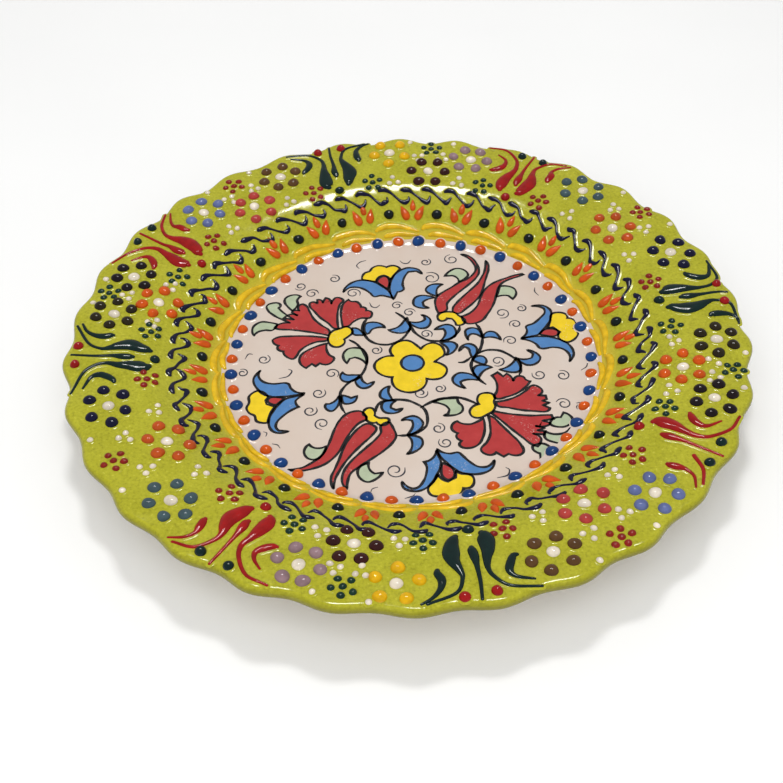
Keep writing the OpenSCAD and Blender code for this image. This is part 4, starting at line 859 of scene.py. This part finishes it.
def plain_glaze(name, colour, wear):
    """Clear glaze over a pale body, with faint clouding and a few specks."""
    m = Material(name)
    base = linear(colour)
    cloud = m.ramp(m.noise(14.0, 3.0), [(0.3, blend(base, linear(wear), 0.5)), (0.7, base)])
    speck = m.grey(m.noise(0.5, 2.0), 0.0, 0.5, 0.74, 0.78)
    colour = m.mix(speck, cloud, linear(wear))
    m.bump(m.noise(4.0, 2.0), 0.02, 0.5)
    return m.finish(colour, m.grey(m.noise(3.0), 0.08, 0.16))


def clay():
    """Bare fired clay of the foot ring."""
    m = Material("clay")
    base = linear(CLAY)
    body = m.ramp(m.noise(2.2, 5.0, 0.65), [(0.25, blend(base, CLAY_PORE, 0.4)), (0.75, base)])
    grit = m.grey(m.noise(0.35, 2.0), 0.0, 0.7, 0.66, 0.72)
    m.bump(m.noise(0.5, 4.0, 0.7), 0.06)
    return m.finish(m.mix(grit, body, linear(CLAY_GRIT)), m.grey(m.noise(1.0), 0.75, 0.95), 0.3)


def enamel(name, colour):
    """Glossy raised enamel of uneven tone, with painted shade darkening each drop and stroke towards its
    foot.
    """
    m = Material(name)
    base = linear(colour)
    dark_tone_and_shade = scaled(base, 0.75)
    pale = scaled(base, 1.15)
    tone = m.ramp(m.noise(2.4, 3.0), [(0.3, dark_tone_and_shade), (0.72, pale)])
    # Painted shade: each drop and stroke is mixed toward the darker tone near its foot, where it meets
    # the glaze.
    foot = m.grey(m.attribute("crown"), 0.55, 0.0, 0.0, 0.5)
    tone = m.mix(foot, tone, dark_tone_and_shade)
    m.bump(m.noise(1.3, 2.0), 0.03, 0.5)
    return m.finish(tone, m.grey(m.noise(1.5), 0.06, 0.13), ENAMEL_SHINE)


def printed(name, colour, worn):
    """Flat printed colour under the clear glaze, a little uneven and scuffed with pale flecks."""
    m = Material(name)
    base = linear(colour)
    tone = m.ramp(m.noise(3.0, 4.0, 0.6), [(0.25, scaled(base, 0.88)), (0.75, scaled(base, 1.1))])
    patch = m.grey(m.noise(7.0, 2.0), 0.0, 1.0, 0.55, 0.68)
    fleck = m.grey(m.noise(0.45, 3.0, 0.7), 0.0, worn, 0.6, 0.66)
    share = m.node("ShaderNodeMath", operation="MULTIPLY")
    m.link(patch, share.inputs[0])
    m.link(fleck, share.inputs[1])
    tone = m.mix(share.outputs["Value"], tone, linear(SCUFF))
    return m.finish(tone, m.grey(m.noise(3.0), 0.1, 0.2), PRINT_SHINE)


# ---------------------------------------------------------------- body and glaze coats
clay_material = clay()
green_material = green_glaze()
white_material = plain_glaze("white_glaze", WHITE_GLAZE, WHITE_WEAR)
back_material = plain_glaze("back_glaze", BACK_GLAZE, BACK_WEAR)

PLAIN_COLUMNS = 360
LIP_FROM = 89.3
body = Shape()
section = spread(top_curve, 0, 49, 14, -GLAZE_T) + spread(top_curve, 49.4, LIP_FROM, 60, -GLAZE_T)
section += lip(LIP_R - GLAZE_T, 85, -85, 12)
section += spread(under_curve, LIP_FROM, 50.8, 40, GLAZE_T)
section += [(50.3, 2.2), *FOOT, (45, 1.5), (44.8, RECESS_Z + GLAZE_T), (0, RECESS_Z + GLAZE_T)]
revolve(body, section, PLAIN_COLUMNS)
body.piece("body_of_clay", clay_material, ["clay_body"], "clay")

white = Shape()
green = Shape()
OUTER_COUNT = 84
LIP_COUNT = 22


def well_edge(a):
    """Radius at angle a where the white glaze meets the green."""
    return WELL_R + RING_SHIFT * math.cos(a)


def white_section(a):
    """Closed section of the white glaze at angle a."""
    inner = spread(top_curve, 0, 49, 26) + spread(top_curve, 49.3, well_edge(a), 10)
    return inner + [(r, z - GLAZE_T) for r, z in inner[::-1]]


def green_section(a):
    """Closed section of the green glaze at angle a, over the lip and a little way under."""
    outer = spread(top_curve, well_edge(a), LIP_FROM, OUTER_COUNT)
    hidden = [(r, z - GLAZE_T) for r, z in spread(top_curve, well_edge(a), LIP_FROM, 24)]
    under = spread(under_curve, LIP_FROM, UNDER_EDGE, 8)
    under += spread(under_curve, UNDER_EDGE, LIP_FROM, 6, GLAZE_T)
    over = lip(LIP_R, 88, -88, LIP_COUNT)
    inside = lip(LIP_R - GLAZE_T, -85, 85, 8)
    return outer + over + under + inside + hidden[::-1]


# Share to which each point of the green section is past the top of the lip, where the glaze is darkened:
# thin glaze there, with painted shade on the lip's side
green_size = len(green_section(0))
over_lip = np.clip((np.arange(green_size) - OUTER_COUNT) / LIP_COUNT * 2, 0, 1)
revolve(white, white_section)
revolve(green, green_section, crown=over_lip)

back = Shape()
outer = spread(under_curve, 50.7, UNDER_EDGE, 44)
revolve(back, outer + spread(under_curve, UNDER_EDGE, 50.7, 12, GLAZE_T))
disc = [(r, RECESS_Z) for r in (0, 15, 30, 42)]
disc += [(44.3, RECESS_Z - 0.05), (RECESS_R, RECESS_Z - 0.5)]
disc += [(RECESS_R, RECESS_Z + GLAZE_T), (0, RECESS_Z + GLAZE_T)]
revolve(back, disc, PLAIN_COLUMNS)
back.piece("glaze_on_back", back_material, ["back_glaze"], "back_glaze")

# ---------------------------------------------------------------- enamel pieces
shapes = {}


def enamelled(node, slot):
    """The shape that collects one CAD node's enamel."""
    shapes[node] = (Shape(), slot)
    return shapes[node][0]


blue = enamelled("well_beads_blue", "enamel_blue")
amber = enamelled("well_beads_orange", "enamel_amber")
teal = enamelled("collar_beads_green", "enamel_teal")
drops = enamelled("collar_petals_orange", "enamel_amber")
outer_arcs = enamelled("collar_arcs_outer", "enamel_yellow")
inner_arcs = enamelled("collar_arcs_inner", "enamel_yellow")
for i in range(N_RING):
    turn = i * 360 / N_RING
    for shape, glaze, r, first, d in (
        (blue, white, WELL_BEAD_R, BLUE_TURN, BLUE_D),
        (amber, white, WELL_BEAD_R, ORANGE_TURN, ORANGE_D),
        (teal, green, COLLAR_BEAD_R, COLLAR_TURN, COLLAR_D),
    ):
        a = first + turn
        bead(shape, glaze, r + off_centre(a), a, d, BEAD_H)
    a = COLLAR_TURN + turn
    stroke(outer_arcs, green, OUTER_ARC, a, off_centre(a))
    stroke(inner_arcs, green, INNER_ARC, a, off_centre(a), skirted=False)
    for r, side, lean, size in COLLAR_PETAL_AT:
        a = COLLAR_PETAL_TURN + turn + side
        teardrop(drops, green, r + off_centre(a), a, lean, size)

waves = enamelled("wave_border", "enamel_navy")
for i in range(N_WAVES):
    a = WAVE_TURN + i * 360 / N_WAVES
    stroke(waves, green, WAVE_STROKE, a, off_centre(a), 0.3)

red_strokes = enamelled("tulips_red", "enamel_red")
green_strokes = enamelled("tulips_green", "enamel_green")
red_dots = enamelled("tulip_dots_red", "enamel_red")
green_dots = enamelled("tulip_dots_green", "enamel_green")
for i, (a, away) in enumerate(zip(TULIP_A, TULIP_OUT)):
    is_red = i % 2 == 1
    strokes, dots = (RED_SPRAY, RED_SPRAY_DOTS) if is_red else (GREEN_SPRAY, GREEN_SPRAY_DOTS)
    for k, points in enumerate(strokes):
        first = BROKEN_FROM if (i, k) == (BROKEN_SPRAY, BROKEN_STROKE) else 0
        stroke(red_strokes if is_red else green_strokes, green, points[first:], a, away)
    side, out = RED_SPRAY_TIP if is_red else GREEN_SPRAY_TIP
    tip_beads, outer_beads = (red_dots, green_dots) if is_red else (green_dots, red_dots)
    places = [(outer_beads, *dot) for dot in dots] + [(tip_beads, side, out + away)]
    for beads, side, out in places:
        turn = math.degrees(math.atan2(side, out))
        bead(beads, green, math.hypot(side, out), a - turn, SPRAY_DOT_D, BEAD_H)

PETAL_NODES = [
    ["petals_navy", "petals_rust", "petals_slate"],
    ["petals_mauve", "petals_maroon", "petals_yellow"],
    ["petals_olive", "petals_coral", "petals_periwinkle"],
    ["petals_aubergine", "petals_orange", "petals_umber"],
]
PETAL_SLOT = {"petals_yellow": "enamel_ochre"}
centres = enamelled("flower_centres", "enamel_white")
rosettes = [enamelled("rosettes_red", "enamel_crimson"), enamelled("rosettes_green", "enamel_moss")]
tiny = enamelled("tiny_dots", "enamel_white")
for names in PETAL_NODES:
    for name in names:
        enamelled(name, PETAL_SLOT.get(name, name.replace("petals", "enamel")))
for g in range(len(TULIP_A)):
    inset = FLOWER_IN + FLOWER_IN_PER_GAP * gap_w(g)
    for k, name in enumerate(PETAL_NODES[g % len(PETAL_NODES)]):
        count = N_PETALS - 1 if name == "petals_yellow" else N_PETALS
        a = three_a(g, k, inset)
        r = FLOWER_R[k] + flower_out(g, k)
        width = WIDTH_LEAST + WIDTH_PER_GAP * gap_w(g)
        petals = shapes[name][0]
        first = 180 / N_PETALS
        flower_ring(petals, green, r, a, count, PETAL_RING, PETAL_D, PETAL_H, first, width)
        flower_bead(centres, green, r, a, CENTRE_D, CENTRE_H)
        dots = rosettes[g % 2]
        a = three_a(g, k, ROSETTE_IN)
        flower_ring(dots, green, ROSETTE_R[k], a, N_ROSETTE, ROSETTE_RING, ROSETTE_D, SMALL_H)
        flower_bead(dots, green, ROSETTE_R[k], a, ROSETTE_D, SMALL_H)
    middle = gap_a(g, 0.5)
    threes = [(gap_a(g, share), r, 0) for share, r in TINY_AT]
    apart = TINY_MIDDLE_PER_GAP * gap_w(g) - TINY_MIDDLE_LESS
    for turn in (-apart, apart) if gap_w(g) > WIDE_GAP + WIDE_PER_OUT * MIDDLE_OUT[g] else (0,):
        r = TINY_MIDDLE_R + TINY_MIDDLE_PER_OUT * MIDDLE_OUT[g]
        threes.append((middle + turn, r, TINY_TURN if turn > 0 else 0))
    for a, r, first in threes:
        flower_ring(tiny, green, r, a, 3, TINY_PITCH, TINY_D, SMALL_H, first)
    for way in (-1, 1):
        a = middle + way * (TINY_SINGLE_PER_GAP * gap_w(g) - TINY_SINGLE_LESS)
        flower_bead(tiny, green, TINY_SINGLE_R, a, TINY_D, SMALL_H)

enamels = {slot: enamel(slot, colour) for slot, colour in ENAMEL.items()}
for node, (shape, slot) in shapes.items():
    shape.piece("raised_" + node, enamels[slot], [node], slot)
white.piece("glaze_in_well", white_material, ["well_glaze"], "white_glaze")
green.piece("glaze_on_rim", green_material, ["rim_glaze"], "green_glaze")

# ---------------------------------------------------------------- the print
LAYER = {"print_yellow": 0.012, "print_sage": 0.016, "print_red": 0.02, "print_blue": 0.024}
OUTLINE_TOP = 0.034
CURL_TOP = 0.03
AREA_WORN = 0.9
LINE_WORN = 0.3
PRINT_SHARP = 30
black = Shape()
for node, top in LAYER.items():
    layer = Shape()
    for loop in top_loops(node):
        smooth = rounded(loop)
        slab(layer, smooth, top)
        half = OUTLINE_W / 2 * wandering(len(smooth), OUTLINE_WANDER)
        ribbon(black, smooth, half, OUTLINE_TOP, True)
    layer.piece("flat_" + node, printed(node, PRINT[node], AREA_WORN), [node], node, PRINT_SHARP)
for points in STEMS:
    drawn_line(black, points, STEM_W, OUTLINE_TOP)
ink = printed("print_black", PRINT["print_black"], LINE_WORN)
black.piece("flat_print_outlines", ink, ["print_stems"], "print_black", PRINT_SHARP)

grey = Shape()
for x, y, radius, first, way in CURLS:
    t = np.linspace(0, 1, 14)
    a = math.radians(first) + way * CURL_TURNS * 2 * math.pi * t
    r = radius * (1 - CURL_TAPER * t)
    drawn_line(grey, np.column_stack([x + r * np.cos(a), y + r * np.sin(a)]), CURL_W, CURL_TOP)
for points in HOOKS:
    drawn_line(grey, points, CURL_W, CURL_TOP)
ink = printed("print_grey", PRINT["print_grey"], LINE_WORN)
grey.piece("flat_print_curls", ink, ["print_curls"], "print_grey", PRINT_SHARP)


# ---------------------------------------------------------------- floor, light and camera
def floor():
    """A plain pale floor under the plate."""
    half, rows = 2.0, 9
    steps = np.linspace(-half, half, rows)
    points = [(x, y, 0) for y in steps for x in steps]
    faces = []
    for j in range(rows - 1):
        for i in range(rows - 1):
            k = j * rows + i
            faces.append((k, k + 1, k + rows + 1, k + rows))
    mesh = bpy.data.meshes.new("floor")
    mesh.from_pydata(points, [], faces)
    m = Material("floor")
    tone = m.ramp(m.noise(60.0, 2.0), [(0.3, linear(FLOOR_DARK)), (0.7, linear(FLOOR_LIGHT))])
    mesh.materials.append(m.finish(tone, 0.9, 0.1))
    obj = bpy.data.objects.new("floor", mesh)
    bpy.context.scene.collection.objects.link(obj)


def area_light(name, place, target, size, power, glossy, diffuse=True):
    """A rectangular light: glossy lets it show as highlights, diffuse lets it light surfaces."""
    data = bpy.data.lights.new(name, "AREA")
    data.shape = "RECTANGLE"
    data.size, data.size_y = size
    data.energy = power
    obj = bpy.data.objects.new(name, data)
    obj.location = place
    obj.visible_glossy = glossy
    obj.visible_diffuse = diffuse
    obj.rotation_euler = (Vector(target) - Vector(place)).to_track_quat("-Z", "Y").to_euler()
    bpy.context.scene.collection.objects.link(obj)


def camera():
    """Looks down at the plate from its near side, slightly turned and tilted."""
    yaw, pitch, roll = (math.radians(a) for a in CAMERA_TURN)
    forward = Vector((math.sin(yaw) * math.cos(pitch), math.cos(yaw) * math.cos(pitch), -math.sin(pitch)))
    right = Vector((math.cos(yaw), -math.sin(yaw), 0))
    up = right.cross(forward)
    tilted_right = math.cos(roll) * right + math.sin(roll) * up
    tilted_up = -math.sin(roll) * right + math.cos(roll) * up
    data = bpy.data.cameras.new("camera")
    data.lens = LENS
    data.sensor_width = 36
    data.clip_start = 0.01
    obj = bpy.data.objects.new("camera", data)
    turn = Matrix((tilted_right, tilted_up, -forward)).transposed().to_4x4()
    obj.matrix_world = Matrix.Translation(Vector(CAMERA_AT)) @ turn
    bpy.context.scene.collection.objects.link(obj)
    bpy.context.scene.camera = obj


LENS = 55.01
CAMERA_AT = (0, -0.237, 0.2327)
CAMERA_TURN = (-1.06, 45.2, -1.70)  # yaw, pitch down, roll
PLATE_MIDDLE = (0, 0, 0.01)
KEY_AT = (0.02, 0.3, 0.92)
KEY_SIZE = (0.16, 0.1)
KEY_POWER = 2.6
GLINT_SIZE = (0.3, 0.18)
GLINT_POWER = 8.0
FILL_AT = (-0.04, -0.36, 0.45)
FILL_SIZE = (0.6, 0.5)
FILL_POWER = 1.5
SKY_STRENGTH = 0.52
floor()
area_light("key", KEY_AT, PLATE_MIDDLE, KEY_SIZE, KEY_POWER, False)
area_light("glint", KEY_AT, PLATE_MIDDLE, GLINT_SIZE, GLINT_POWER, True, False)
area_light("fill", FILL_AT, (0, 0, 0), FILL_SIZE, FILL_POWER, False)
camera()
world = bpy.data.worlds.new("studio")
world.use_nodes = True
sky = world.node_tree.nodes["Background"]
sky.inputs["Color"].default_value = (1, 1, 1, 1)
sky.inputs["Strength"].default_value = SKY_STRENGTH
bpy.context.scene.world = world
bpy.context.scene.view_settings.view_transform = "Standard"
